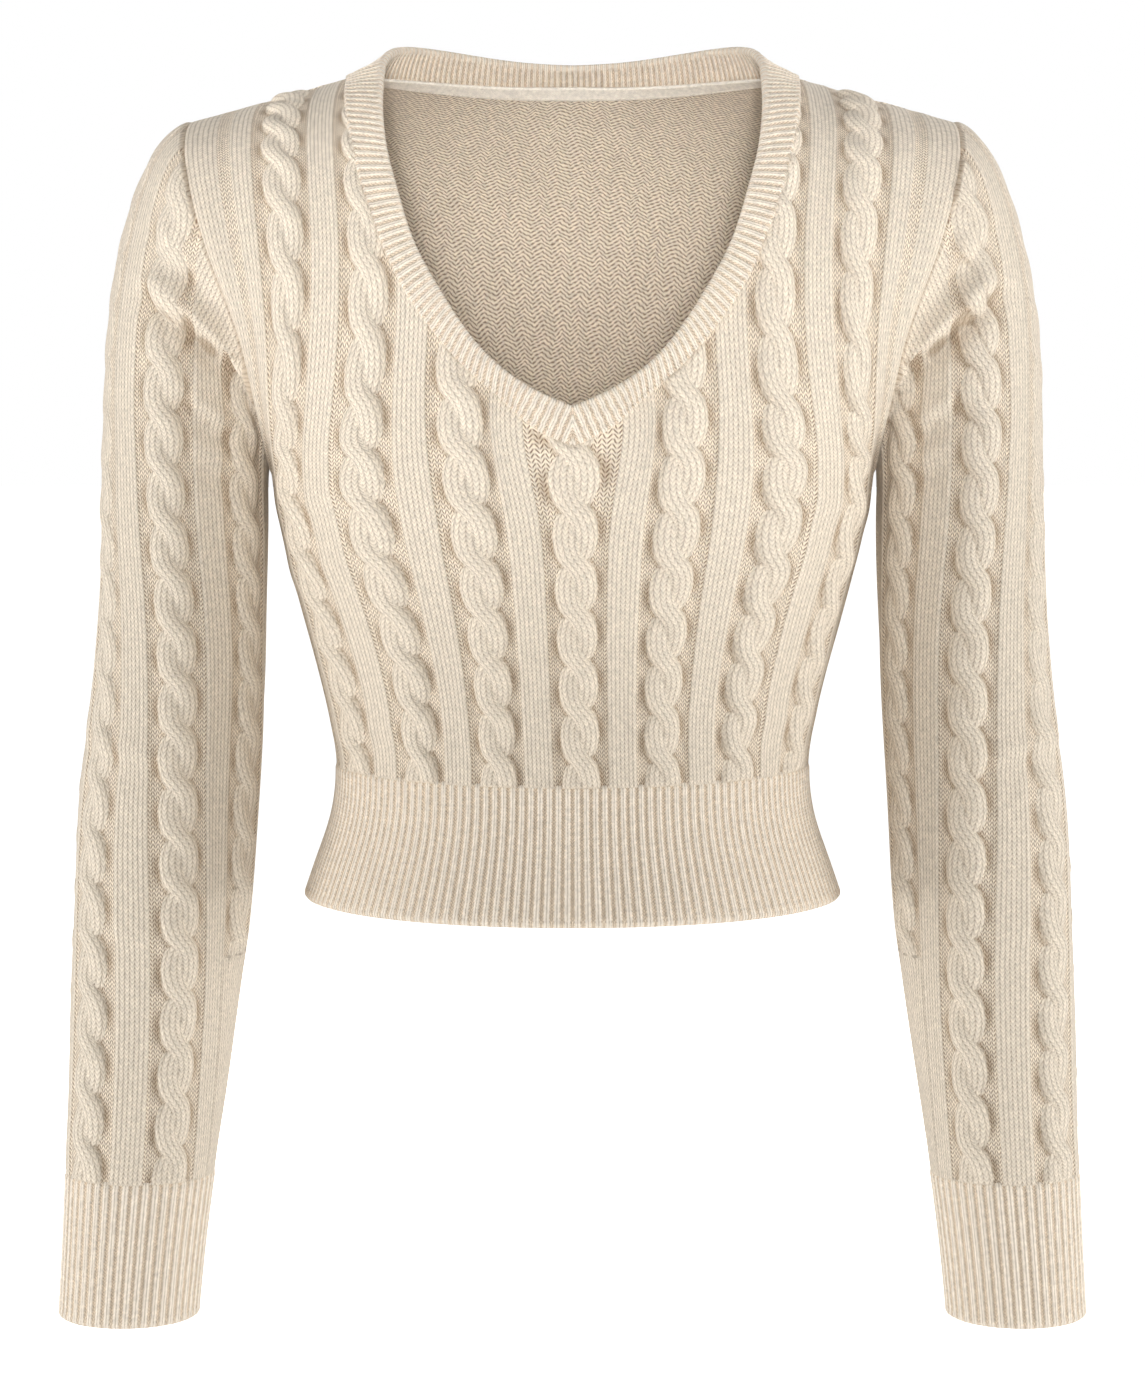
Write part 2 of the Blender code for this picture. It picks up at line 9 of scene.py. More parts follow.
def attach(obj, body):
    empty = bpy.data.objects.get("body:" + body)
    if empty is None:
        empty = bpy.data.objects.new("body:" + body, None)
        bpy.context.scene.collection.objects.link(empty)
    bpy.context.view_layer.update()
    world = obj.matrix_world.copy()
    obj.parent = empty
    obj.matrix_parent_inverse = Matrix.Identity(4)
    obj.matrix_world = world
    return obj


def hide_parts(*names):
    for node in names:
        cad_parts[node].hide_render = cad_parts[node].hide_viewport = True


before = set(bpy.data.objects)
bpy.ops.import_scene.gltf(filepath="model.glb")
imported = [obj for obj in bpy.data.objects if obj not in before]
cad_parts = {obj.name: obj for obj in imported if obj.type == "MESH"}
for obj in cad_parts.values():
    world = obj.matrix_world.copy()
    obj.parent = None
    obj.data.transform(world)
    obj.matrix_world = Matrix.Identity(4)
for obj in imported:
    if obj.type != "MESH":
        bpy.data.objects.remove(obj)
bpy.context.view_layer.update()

# Cropped V-neck cable-knit sweater, filled out as worn. Lengths are in millimetres
# until a mesh is made. The front faces -Y, the wearer's left is +X.

mm = 0.001

# What a user may change, shared by every cable-knit piece.
cableKnit = {
    "repeat": 47.0,  # pattern width from one cable to the next
    "cableHalf": 10.6,  # half the width that a cable takes
    "gutterHalf": 15.4,  # where the purl gutter ends and the plain panel starts
    "slopeIn": 1.6,  # the gutter's side starts this far before that edge
    "slopeOut": 0.7,  # and ends this far past it
    "gutterDepth": 1.3,
    "edgeRoll": 0.6,  # how high the wale beside a gutter rolls up
    "rollPlace": 1.5,  # the rolled wale's middle, past the gutter's edge
    "rollWidth": 1.4,
    "sideGutter": 170.0,  # the body's last, narrow gutter, from the middle
    "sideGutterHalf": 2.6,
    "sideGutterShare": 0.7,  # its depth beside that of the others
    "strandHalf": 6.1,  # half the width of one strand
    "swing": 4.6,  # how far a strand sways off the cable's middle
    "bend": 1.15,  # above 0, strands run straighter between crossings
    "pinch": 0.14,  # a strand is this much narrower where it crosses
    "strandHeight": 3.4,
    "strandSink": 1.35,  # how far a strand's flanks lie under the plain knit
    "fallAway": 8.0,  # how steeply it drops past its flanks
    "lift": 1.6,  # the upper strand at a crossing stands this much higher
    "blend": 0.12,  # mm over which two strands run into each other
    "reliefRoom": 1.5,  # mm past a cable's width that its relief still reaches
    "stitchRoom": 1.0,  # and its stitches
    "creaseDepth": 1.35,  # mm below its surroundings at which the painted shade is darkest
    "crownLimit": -0.6,  # the crease value of the highest crowns
    "aroundRows": 2,  # rows and columns either side that count as the surroundings
    "aroundColumns": 4,
    "turnLength": 25.0,  # one crossing to the next
    "coursesPerTurn": 12,
    "strandWales": 5,
    "panelWales": 7,
    "gutterWales": 2,
    "flankWales": 0.6,  # how fast the wales go on past a strand's flanks
    "ropeCalm": 0.1,  # how much fainter the wales are on a cable than on plain knit
    "insideWale": 4.6,  # the width of one slope of the inside's zigzag
    "insideCourse": 1.14,
    # the mesh: points across a cable's half, a gutter and a plain panel
    "cableColumns": 11,
    "gutterColumns": 5,
    "panelColumns": 10,
    "marginStep": 2.1,  # mm between the columns of the plain margins
}
lastCable = 3  # cables either side of the body's middle one, and on each half of a sleeve
noCable = -9.0  # a height far below any knit

# how finely curves and surfaces are sampled where they are measured
sampling = {
    "section": 180, "neckPoints": 160, "neckColumns": 200, "neckLevels": 500, "armhole": 300,
    "backLevels": 200, "backColumns": 161, "tubeLevels": 260, "tubeSteps": 360, "sleeveHeights": 120,
}
tie = 1e-6  # mm; diagonals this close count as equal, so every run parts a square the same way

# The garment's form: the same sections as the solids, a row for each height.
bodyNames = (
    "centreZ", "centreY", "edgeX", "edgeY", "edgeZ",
    "square", "turn", "lean", "share1", "share2", "share3",
)
frontSections = (
    (-383.0, -106.0, 133.8, 0.0, -383.0, 2.05, 2.0, 2.0, 0.245, 0.490, 0.750),
    (-364.0, -100.0, 127.2, 0.0, -364.0, 2.05, 2.0, 2.0, 0.245, 0.490, 0.750),
    (-345.0, -95.5, 120.9, 0.0, -345.0, 2.05, 2.0, 2.0, 0.245, 0.490, 0.750),
    (-320.0, -94.0, 118.1, 0.0, -319.0, 2.05, 2.0, 2.0, 0.240, 0.485, 0.750),
    (-290.0, -95.8, 122.6, 0.0, -290.0, 2.05, 2.0, 2.0, 0.234, 0.473, 0.750),
    (-255.0, -102.8, 131.4, 0.0, -255.0, 2.08, 2.0, 2.0, 0.228, 0.473, 0.754),
    (-225.0, -111.8, 139.4, 0.0, -225.0, 2.10, 2.0, 2.0, 0.226, 0.482, 0.768),
    (-198.0, -119.0, 145.8, 0.0, -198.0, 2.12, 2.0, 2.0, 0.229, 0.494, 0.785),
    (-172.0, -121.5, 149.8, 0.0, -168.0, 2.15, 2.0, 2.0, 0.240, 0.505, 0.795),
    (-150.0, -118.5, 150.4, -22.0, -159.0, 2.15, 1.90, 2.0, 0.270, 0.535, 0.812),
    (-125.0, -111.0, 154.0, -43.0, -137.0, 2.15, 1.65, 2.0, 0.300, 0.563, 0.826),
    (-95.0, -99.8, 162.0, -55.0, -103.0, 2.10, 1.35, 1.8, 0.305, 0.568, 0.815),
    (-60.0, -85.5, 176.0, -55.0, -64.0, 2.00, 1.12, 1.5, 0.292, 0.545, 0.770),
    (-28.0, -70.0, 185.8, -41.5, -30.0, 2.00, 1.0, 1.2, 0.285, 0.535, 0.745),
    (3.0, -52.0, 188.7, -25.0, -11.0, 2.00, 1.0, 1.0, 0.282, 0.537, 0.742),
    (30.0, -28.0, 188.0, -8.5, -2.5, 2.00, 1.0, 1.0, 0.280, 0.540, 0.745),
    (52.3, 10.0, 186.0, 10.0, -0.5, 2.00, 1.0, 1.0, 0.280, 0.540, 0.745),
)
backSections = (
    (-383.0, 97.0, 133.8, 0.0, -383.0, 2.15, 2.0, 2.0, 0.250, 0.500, 0.750),
    (-364.0, 91.0, 127.2, 0.0, -364.0, 2.15, 2.0, 2.0, 0.250, 0.500, 0.750),
    (-345.0, 86.0, 120.9, 0.0, -345.0, 2.15, 2.0, 2.0, 0.250, 0.500, 0.750),
    (-320.0, 83.0, 118.1, 0.0, -319.0, 2.15, 2.0, 2.0, 0.250, 0.500, 0.750),
    (-290.0, 83.5, 122.6, 0.0, -290.0, 2.15, 2.0, 2.0, 0.250, 0.500, 0.750),
    (-255.0, 88.0, 131.4, 0.0, -255.0, 2.15, 2.0, 2.0, 0.250, 0.500, 0.752),
    (-225.0, 93.5, 139.4, 0.0, -225.0, 2.15, 2.0, 2.0, 0.250, 0.502, 0.757),
    (-198.0, 98.5, 145.8, 0.0, -198.0, 2.18, 2.0, 2.0, 0.252, 0.507, 0.765),
    (-172.0, 102.5, 149.8, 0.0, -168.0, 2.20, 2.0, 2.0, 0.256, 0.515, 0.775),
    (-150.0, 105.0, 150.8, 21.0, -159.5, 2.20, 1.90, 2.0, 0.266, 0.530, 0.785),
    (-125.0, 106.5, 155.5, 41.0, -139.0, 2.20, 1.65, 2.0, 0.275, 0.545, 0.790),
    (-95.0, 106.5, 164.0, 53.5, -106.0, 2.20, 1.40, 1.8, 0.280, 0.550, 0.785),
    (-60.0, 103.0, 176.0, 57.5, -67.0, 2.15, 1.20, 1.5, 0.280, 0.545, 0.765),
    (-28.0, 95.5, 185.4, 50.5, -33.0, 2.10, 1.08, 1.2, 0.280, 0.540, 0.748),
    (1.0, 82.0, 189.0, 37.5, -12.5, 2.00, 1.0, 1.0, 0.280, 0.540, 0.745),
    (26.0, 61.0, 188.4, 23.5, -3.5, 2.00, 1.0, 1.0, 0.280, 0.540, 0.745),
    (43.0, 37.0, 187.2, 15.5, -1.3, 2.00, 1.0, 1.0, 0.280, 0.540, 0.745),
    (52.3, 10.0, 186.0, 10.0, -0.5, 2.00, 1.0, 1.0, 0.280, 0.540, 0.745),
)
underarmRow = 8  # rows of the tables where a stretch ends
ribTopRow = 3
neckPointX = 111.0

# z and half the width of the neck opening; x and the height of the back neck seam
frontNeck = (
    (-154.5, 0.0), (-148.0, 14.0), (-134.6, 30.6), (-120.7, 46.8), (-104.4, 62.3),
    (-83.9, 77.6), (-61.7, 89.0), (-42.3, 96.6), (-22.6, 102.8), (-5.5, 107.0),
    (6.5, 109.2), (21.5, neckPointX),
)
backNeck = ((0.0, 14.0), (30.0, 14.6), (60.0, 16.6), (85.0, 19.4), (100.0, 21.0), (neckPointX, 21.5))
# the free edge of the neckband
bandFront = (
    (0.0, -116.3, -137.0), (20.8, -112.5, -127.6), (37.7, -106.5, -115.6),
    (51.5, -99.0, -100.2), (63.9, -88.5, -81.1), (75.6, -76.0, -59.4),
    (84.0, -61.5, -34.2), (88.9, -48.5, -16.9), (92.4, -29.0, 6.3), (93.3, 0.0, 27.5),
)
bandBack = (
    (93.3, 0.0, 27.5), (89.5, 20.0, 35.5), (76.0, 40.0, 37.0),
    (51.0, 55.5, 34.0), (25.0, 63.0, 30.8), (0.0, 65.5, 29.6),
)

sleeveNames = ("z", "centreX", "halfWidth", "centreY", "halfDepth", "twist")
sleeveSections = (
    (-130.0, 192.7, 39.3, 1.0, 48.5, 0.0),
    (-185.0, 192.9, 41.2, 2.0, 49.0, 0.0),
    (-235.0, 194.6, 41.9, 4.5, 47.6, 4.0),
    (-285.0, 198.1, 43.1, 6.0, 46.5, 8.5),
    (-335.0, 202.5, 44.5, 4.5, 45.5, 13.0),
    (-385.0, 205.6, 44.3, -1.0, 43.5, 17.0),
    (-435.0, 209.1, 42.1, -7.0, 40.8, 21.0),
    (-485.0, 213.4, 39.2, -13.5, 37.4, 24.0),
    (-523.0, 216.8, 37.1, -18.2, 34.6, 25.0),
    (-560.0, 220.0, 35.5, -21.4, 33.0, 25.0),
    (-592.5, 222.6, 34.8, -23.3, 32.0, 25.0),
)
cuffTopZ, cuffEndZ = -523.0, -592.5
capEndOuterZ, capEndInnerZ = -130.0, -185.0
armholeShare = (0.0, 0.12, 0.27, 0.68, 1.0)
sleeveShare = (0.0, 0.25, 0.475, 0.76, 1.0)
# where the six cables lie round the sleeve, measured from its outer line, front positive:
# height, inner, main and outer cable at the back, outer, main and inner cable at the front
sleeveCables = (
    (-130.0, -110.0, -67.0, -25.0, 15.5, 62.0, 108.0),
    (-165.0, -111.0, -67.0, -24.5, 19.0, 65.0, 110.0),
    (-210.0, -111.5, -67.0, -23.0, 22.0, 66.5, 111.0),
    (-260.0, -112.0, -67.0, -22.4, 22.5, 67.5, 112.0),
    (-310.0, -112.0, -67.0, -22.4, 22.5, 69.0, 112.0),
    (-350.0, -110.0, -68.0, -24.0, 19.5, 70.0, 110.0),
    (-400.0, -107.0, -69.0, -26.0, 17.5, 69.0, 106.0),
    (-460.0, -101.0, -69.0, -27.5, 16.0, 64.5, 100.0),
    (-523.0, -95.0, -69.0, -29.0, 13.5, 60.0, 94.0),
)


def naturalSpline(knots, values, at):
    # the natural cubic curve through the values at the knots, read at the given places
    knots, values, at = (np.asarray(a, float) for a in (knots, values, at))
    steps = np.diff(knots)
    slopes = (np.diff(values, axis=0).T / steps).T
    matrix = np.eye(len(knots))
    right = np.zeros_like(values)
    for i in range(1, len(knots) - 1):
        matrix[i, i - 1:i + 2] = steps[i - 1], 2 * (steps[i - 1] + steps[i]), steps[i]
        right[i] = 6 * (slopes[i] - slopes[i - 1])
    bends = np.linalg.solve(matrix, right)
    i = np.clip(np.searchsorted(knots, at) - 1, 0, len(steps) - 1)
    low = (knots[i + 1] - at) / steps[i]
    high = 1 - low
    width = steps[i]
    if values.ndim == 2:
        low, high, width = low[..., None], high[..., None], width[..., None]
    curve = (low**3 - low) * bends[i] + (high**3 - high) * bends[i + 1]
    return low * values[i] + high * values[i + 1] + curve * width**2 / 6


def arcLengths(points):
    steps = np.linalg.norm(np.diff(points, axis=0), axis=-1)
    return np.concatenate([np.zeros_like(steps[:1]), np.cumsum(steps, axis=0)])


def arcShares(points):
    along = arcLengths(points)
    return along / along[-1]


def unit(vectors):
    return vectors / np.linalg.norm(vectors, axis=-1, keepdims=True)


def smooth(low, high, values):
    # 0 below low, 1 above high, soft between
    share = np.clip((values - low) / (high - low), 0, 1)
    return share * share * (3 - 2 * share)


def bump(values, centre, width):
    return np.exp(-(((values - centre) / width) ** 2))


def readSections(sections):
    rows = {name: np.array(column, float) for name, column in zip(bodyNames, zip(*sections))}
    middle = np.stack([rows["centreY"], rows["centreZ"]], axis=1)
    return rows, arcShares(middle)


def bodyRow(rows, marks, name, levels):
    values = rows[name]
    if not name.startswith("edge"):
        return naturalSpline(marks, values, levels)
    corner = underarmRow  # the edge turns a corner at the underarm
    below = naturalSpline(marks[:corner + 1], values[:corner + 1], levels)
    above = naturalSpline(marks[corner:], values[corner:], levels)
    return np.where(levels <= marks[corner], below, above)


def bodyGrid(sections, levels, columns=None, shares=None):
    # points[level, column] of the front or back. A column is 0 in the middle and 1 or -1 at
    # the edge and follows the knit; a share is measured along the level instead.
    rows, marks = readSections(sections)
    row = {name: bodyRow(rows, marks, name, levels)[:, None] for name in bodyNames}
    if shares is None:
        size = np.abs(np.broadcast_to(columns, (len(levels), np.shape(columns)[-1])))
        weights = naturalSpline((0, 0.25, 0.5, 0.75, 1), np.eye(5), size)
        share = weights[..., 4] + sum(weights[..., i] * row[f"share{i}"] for i in (1, 2, 3))
        side = np.sign(np.broadcast_to(columns, size.shape))
    else:
        share = np.abs(np.broadcast_to(shares, (len(levels), np.shape(shares)[-1])))
        side = np.sign(np.broadcast_to(shares, share.shape))

    def section(angle):
        across = np.sin(angle)
        fullness = np.clip(1 - across ** row["square"], 0, None) ** (1 / row["turn"])
        x = row["edgeX"] * across
        y = row["edgeY"] + (row["centreY"] - row["edgeY"]) * fullness
        z = row["centreZ"] + (row["edgeZ"] - row["centreZ"]) * across ** row["lean"]
        return np.stack([x, y, z], axis=-1)

    angles = np.linspace(0, math.pi / 2, sampling["section"])
    dense = section(np.broadcast_to(angles, (len(levels), len(angles))))
    lengths = np.linalg.norm(np.diff(dense, axis=1), axis=2)
    along = np.concatenate([np.zeros((len(levels), 1)), np.cumsum(lengths, axis=1)], axis=1)
    along /= along[:, -1:]
    angle = np.array([np.interp(want, run, angles) for want, run in zip(share, along)])
    points = section(angle)
    points[..., 0] *= side
    return points


def gridNormals(points, facing, ring=False):
    up = np.gradient(points, axis=0)
    if ring:
        across = np.roll(points, -1, axis=1) - np.roll(points, 1, axis=1)
    else:
        across = np.gradient(points, axis=1)
    return unit(np.cross(across, up)) * facing


def frontCut(points):
    # above 0 inside the neck opening
    z, x = np.array(frontNeck).T
    height = np.maximum(points[..., 2], z[0] - 1)
    return naturalSpline(z, x, height) - np.abs(points[..., 0])


def backCut(points):
    x, z = np.array(backNeck).T
    return points[..., 2] - naturalSpline(x, z, np.abs(points[..., 0]))


def neckSeam(sections, cut, count=sampling["neckPoints"]):
    # the neck seam on one half, from the middle to the neck point
    trial = np.linspace(0.2, 1, sampling["neckColumns"])
    ends = bodyGrid(sections, np.array([1.0]), columns=trial)[0]
    last = np.interp(neckPointX, ends[:, 0], trial)
    columns = np.linspace(0, last, count)
    marks = readSections(sections)[1]
    levels = np.linspace(marks[underarmRow], 1, sampling["neckLevels"])
    field = cut(bodyGrid(sections, levels, columns=columns))
    seam = []
    for i, column in enumerate(columns):
        beyond = np.flatnonzero(field[:, i] > 0)
        if len(beyond):
            j = max(beyond[0], 1)
            share = field[j, i] / (field[j, i] - field[j - 1, i])
            level = levels[j] - share * (levels[j] - levels[j - 1])
        else:
            level = 1.0
        seam.append(bodyGrid(sections, np.array([level]), columns=np.array([column]))[0, 0])
    return np.array(seam)


def strandAt(across, turns, which):
    # one strand of the rope at a distance across it and a number of turns up it
    knit = cableKnit
    angle = math.pi * (turns + which)
    limit = math.tanh(knit["bend"])
    sway = np.tanh(knit["bend"] * np.sin(angle)) / limit
    side = -knit["swing"] * sway
    steep = (1 - (sway * limit) ** 2) * knit["bend"] / limit * math.pi / knit["turnLength"]
    slope = -knit["swing"] * np.cos(angle) * steep
    spread = knit["strandHalf"] * np.sqrt(1 + slope**2) * (1 - knit["pinch"] * np.cos(angle) ** 2)
    place = (across - side) / spread
    crown = knit["strandHeight"] * np.sqrt(np.clip(1 - place**2, 0, None))
    fall = knit["fallAway"] * np.clip(np.abs(place) - 1, 0, None)
    height = knit["lift"] * np.cos(angle) + crown - fall - knit["strandSink"]
    return side, slope, place, height


def nearestCable(x, shift):
    # the distance from the nearest cable's middle; beyond the last one the knit is plain
    repeat = cableKnit["repeat"]
    number = np.clip(np.round((x - shift) / repeat), -lastCable, lastCable - (shift > 0))
    return x - shift - number * repeat


def softMax(a, b, soft):
    top = np.maximum(a, b)
    return top + soft * np.log1p(np.exp(-np.abs(a - b) / soft))


def cableRelief(x, turns, shift):
    # how far the knit stands out of its base surface
    knit = cableKnit
    across = nearestCable(x, shift)
    off = np.abs(across)
    edge = knit["gutterHalf"]
    floor = -knit["gutterDepth"] * (1 - smooth(edge - knit["slopeIn"], edge + knit["slopeOut"], off))
    floor = floor + knit["edgeRoll"] * bump(off, edge + knit["rollPlace"], knit["rollWidth"])
    first, second = (strandAt(across, turns, which)[3] for which in (0, 1))
    rope = softMax(first, second, knit["blend"])
    if not shift:
        sideDepth = knit["sideGutterShare"] * knit["gutterDepth"]
        floor = floor - sideDepth * bump(np.abs(x), knit["sideGutter"], knit["sideGutterHalf"])
    near = off < knit["cableHalf"] + knit["reliefRoom"]
    return np.where(near, softMax(np.where(near, rope, noCable), floor, knit["blend"]), floor)


def blurred(grid, reach, axis):
    # the mean over a few rows or columns either side
    width = 2 * reach + 1
    pads = [(reach + 1, reach) if i == axis else (0, 0) for i in range(grid.ndim)]
    total = np.cumsum(np.pad(grid, pads, mode="edge"), axis=axis)
    ahead = np.take(total, np.arange(width, total.shape[axis]), axis=axis)
    behind = np.take(total, np.arange(total.shape[axis] - width), axis=axis)
    return (ahead - behind) / width


def creaseShade(relief):
    # painted shade from the relief: 1 at the bottom of a crease, below 0 on a crown
    knit = cableKnit
    around = blurred(blurred(relief, knit["aroundRows"], 0), knit["aroundColumns"], 1)
    return np.clip((around - relief) / knit["creaseDepth"], knit["crownLimit"], 1)


def stitchCorners(x, turns, triangles, outside, shift, fan=None):
    # stitch coordinates at each corner, wales across and courses up, and its kind: 0 on plain
    # knit, 1 where it is purl, 2 on the inside and below 0 on a cable
    knit = cableKnit
    cornerX, cornerTurns = x[triangles], turns[triangles]
    if shift:  # squares across the sleeve's seam take the place of their first corner
        cornerX = np.where(np.abs(cornerX - cornerX[:, :1]) > knit["repeat"], cornerX[:, :1], cornerX)
    midX, midTurns = cornerX.mean(axis=1), cornerTurns.mean(axis=1)
    offset = nearestCable(midX, shift)
    centre = (midX - offset)[:, None]
    across = cornerX - centre
    courses = cornerTurns * knit["coursesPerTurn"]
    off = np.abs(offset)
    heights = [strandAt(offset, midTurns, which)[3] for which in (0, 1)]
    inRope = (np.maximum(*heights) > -knit["gutterDepth"]) & (off < knit["cableHalf"] + knit["stitchRoom"])
    upper = heights[1] > heights[0]
    gutterWale = (knit["gutterHalf"] - knit["cableHalf"]) / knit["gutterWales"]
    wales = across / gutterWale
    purl = np.ones(len(triangles))
    rows = courses.copy()
    for which in (0, 1):
        chosen = inRope & (upper == bool(which))
        side, slope, place, _ = strandAt(across[chosen], cornerTurns[chosen], which)
        # wales are as wide on a strand's flanks as on its crown
        held = np.clip(place, -1, 1)
        share = 0.5 + held / 4 + np.arcsin(held) / (2 * math.pi) + knit["flankWales"] * (place - held)
        wales[chosen] = share * knit["strandWales"]
        foot = (across[chosen] - side) * slope / (1 + slope**2) / knit["turnLength"]
        rows[chosen] = (cornerTurns[chosen] + foot) * knit["coursesPerTurn"]
        purl[chosen] = -knit["ropeCalm"]
    panel = ~inRope & (off > knit["gutterHalf"])
    panelWale = (knit["repeat"] - 2 * knit["gutterHalf"]) / knit["panelWales"]
    sideways = np.abs(across) - knit["gutterHalf"]
    wales[panel] = (sideways / panelWale)[panel]
    purl[panel] = 0
    if not shift:
        narrow = (np.abs(np.abs(midX) - knit["sideGutter"]) < knit["sideGutterHalf"]) & ~inRope
        wales[narrow] = ((np.abs(cornerX) - knit["sideGutter"]) / gutterWale)[narrow]
        purl[narrow] = 1
    if fan is not None:
        # plain knit that runs its own way
        share, fanWales, fanCourses = (values[triangles] for values in fan)
        turned = share.mean(axis=1) > 0.5
        wales[turned], rows[turned], purl[turned] = fanWales[turned], fanCourses[turned], 0
    within = ~outside
    wales[within] = (cornerX / knit["insideWale"])[within]
    rows[within] = courses[within] * knit["insideCourse"]
    purl[within] = 2
    return np.stack([wales, rows], axis=2), np.repeat(purl, 3).reshape(-1, 3)


def gridTriangles(points, ring):
    # triangles of points[row, column], parted along the shorter diagonal of each square
    rows, columns = points.shape[:2]
    number = np.arange(rows * columns).reshape(rows, columns)
    if ring:
        number = np.concatenate([number, number[:, :1]], axis=1)
    a, b = number[:-1, :-1].ravel(), number[:-1, 1:].ravel()
    c, d = number[1:, :-1].ravel(), number[1:, 1:].ravel()
    flat = points.reshape(-1, 3)
    first = np.linalg.norm(flat[a] - flat[d], axis=1)
    other = np.linalg.norm(flat[b] - flat[c], axis=1)
    direct = (first < other - tie)[:, None]
    one = np.where(direct, np.stack([a, b, d], 1), np.stack([a, b, c], 1))
    two = np.where(direct, np.stack([a, d, c], 1), np.stack([b, d, c], 1))
    return np.concatenate([one, two])


def trimmed(values, triangles, field):
    # the part of a mesh where the field is 0 or less; values are carried along its new edge
    kept = field <= 0
    count = kept[triangles].sum(axis=1)
    faces = list(map(tuple, triangles[count == 3]))
    extra, made = [], {}

    def crossing(a, b):
        key = (min(a, b), max(a, b))
        if key not in made:
            share = field[a] / (field[a] - field[b])
            made[key] = len(values) + len(extra)
            extra.append(values[a] + (values[b] - values[a]) * share)
        return made[key]

    for triangle in triangles[(count == 1) | (count == 2)]:
        a, b, c = (int(i) for i in triangle)
        while not (kept[a] and not kept[c]):
            a, b, c = b, c, a
        if kept[b]:
            low, high = crossing(b, c), crossing(c, a)
            faces += [(a, b, low), (a, low, high)]
        else:
            faces.append((a, crossing(a, b), crossing(c, a)))
    everything = np.concatenate([values, np.array(extra)]) if extra else values
    used, faces = np.unique(np.array(faces), return_inverse=True)
    return everything[used], faces.reshape(-1, 3)


def borderLoops(triangles):
    # the open edges, as closed runs of points
    edges = np.concatenate([triangles[:, [0, 1]], triangles[:, [1, 2]], triangles[:, [2, 0]]])
    size = int(edges.max()) + 1
    keys = edges[:, 0] * size + edges[:, 1]
    unpaired = edges[~np.isin(keys, edges[:, 1] * size + edges[:, 0])]
    follow = {int(a): int(b) for a, b in unpaired}
    loops = []
    while follow:
        start, after = next(iter(follow.items()))
        run = [start]
        del follow[start]
        while after != start:
            run.append(after)
            after = follow.pop(after)
        loops.append(run)
    return loops


def zipped(points, upperLoop, lowerLoop):
    # a strip of triangles between two closed runs of unequal length
    upper = points[upperLoop]
    nearest = np.linalg.norm(points[lowerLoop] - upper[0], axis=1).argmin()
    lowerLoop = lowerLoop[nearest:] + lowerLoop[:nearest]
    above, below = upperLoop + upperLoop[:1], lowerLoop + lowerLoop[:1]
    aboveAt, belowAt = arcShares(points[above]), arcShares(points[below])
    i = j = 0
    faces = []
    while i < len(above) - 1 or j < len(below) - 1:
        if j == len(below) - 1 or (i < len(above) - 1 and aboveAt[i + 1] <= belowAt[j + 1]):
            faces.append((above[i + 1], above[i], below[j]))
            i += 1
        else:
            faces.append((below[j], below[j + 1], above[i]))
            j += 1
    return faces


def coarser(grid, rowStep, columnStep=1, ring=False):
    # a grid with only every few rows and columns, but with its edges
    rows = np.unique(np.append(np.arange(0, grid.shape[0], rowStep), grid.shape[0] - 1))
    columns = np.arange(0, grid.shape[1], columnStep)
    if not ring:
        columns = np.unique(np.append(columns, grid.shape[1] - 1))
    return grid[rows][:, columns]


def closedShell(outer, outerFaces, inner, innerFaces):
    # both faces of a wall of cloth and the rims between them
    points = np.concatenate([outer, inner])
    lifted = innerFaces + len(outer)
    upperLoops = borderLoops(outerFaces)
    lowerLoops = borderLoops(lifted)
    rims = []
    for loop in upperLoops:
        middle = points[loop].mean(axis=0)
        other = min(lowerLoops, key=lambda run: np.linalg.norm(points[run].mean(axis=0) - middle))
        rims += zipped(points, loop, other)
    return points, np.concatenate([outerFaces, lifted[:, ::-1], np.array(rims)])


def meshObject(name, points, triangles, corners=None, purl=None, **fields):
    # a smooth mesh object from points in millimetres; fields are values at its points
    mesh = bpy.data.meshes.new(name)
    mesh.from_pydata((points * mm).tolist(), [], triangles.tolist())
    if corners is not None:
        layer = mesh.uv_layers.new(name="stitch")
        layer.data.foreach_set("uv", corners.astype(np.float32).ravel())
    if purl is not None:
        layer = mesh.attributes.new("purl", "FLOAT", "CORNER")
        layer.data.foreach_set("value", purl.astype(np.float32).ravel())
    for field, values in fields.items():
        layer = mesh.attributes.new(field, "FLOAT", "POINT")
        layer.data.foreach_set("value", np.asarray(values, np.float32))
    mesh.shade_smooth()
    made = bpy.data.objects.new(name, mesh)
    bpy.context.scene.collection.objects.link(made)
    return made


def seamDistance(points, seam, far):
    # how far each point lies from a run of seam points, up to a limit
    tree = KDTree(len(seam))
    for i, place in enumerate(seam):
        tree.insert(place, i)
    tree.balance()
    low, high = seam.min(axis=0) - far, seam.max(axis=0) + far
    near = ((points > low) & (points < high)).all(axis=1)
    away = np.full(len(points), float(far))
    away[near] = [min(tree.find(place)[2], far) for place in points[near]]
    return away


foldForm = {
    "fade": 0.8,  # below 1, a fold keeps more of its size towards its ends
    "lapScale": 2.33,  # makes the largest step of a lap the size that is asked for
    "darkLap": 5.0,  # mm of lap under which the painted shadow is darkest
    "darkPlace": -0.35,  # the painted shadow's place under the lap, in widths of the fold
    "darkWidth": 0.45,
}
hangWaves = {"count": 7, "shortest": 38, "longest": 110, "lean": 0.9}  # mm, and radians


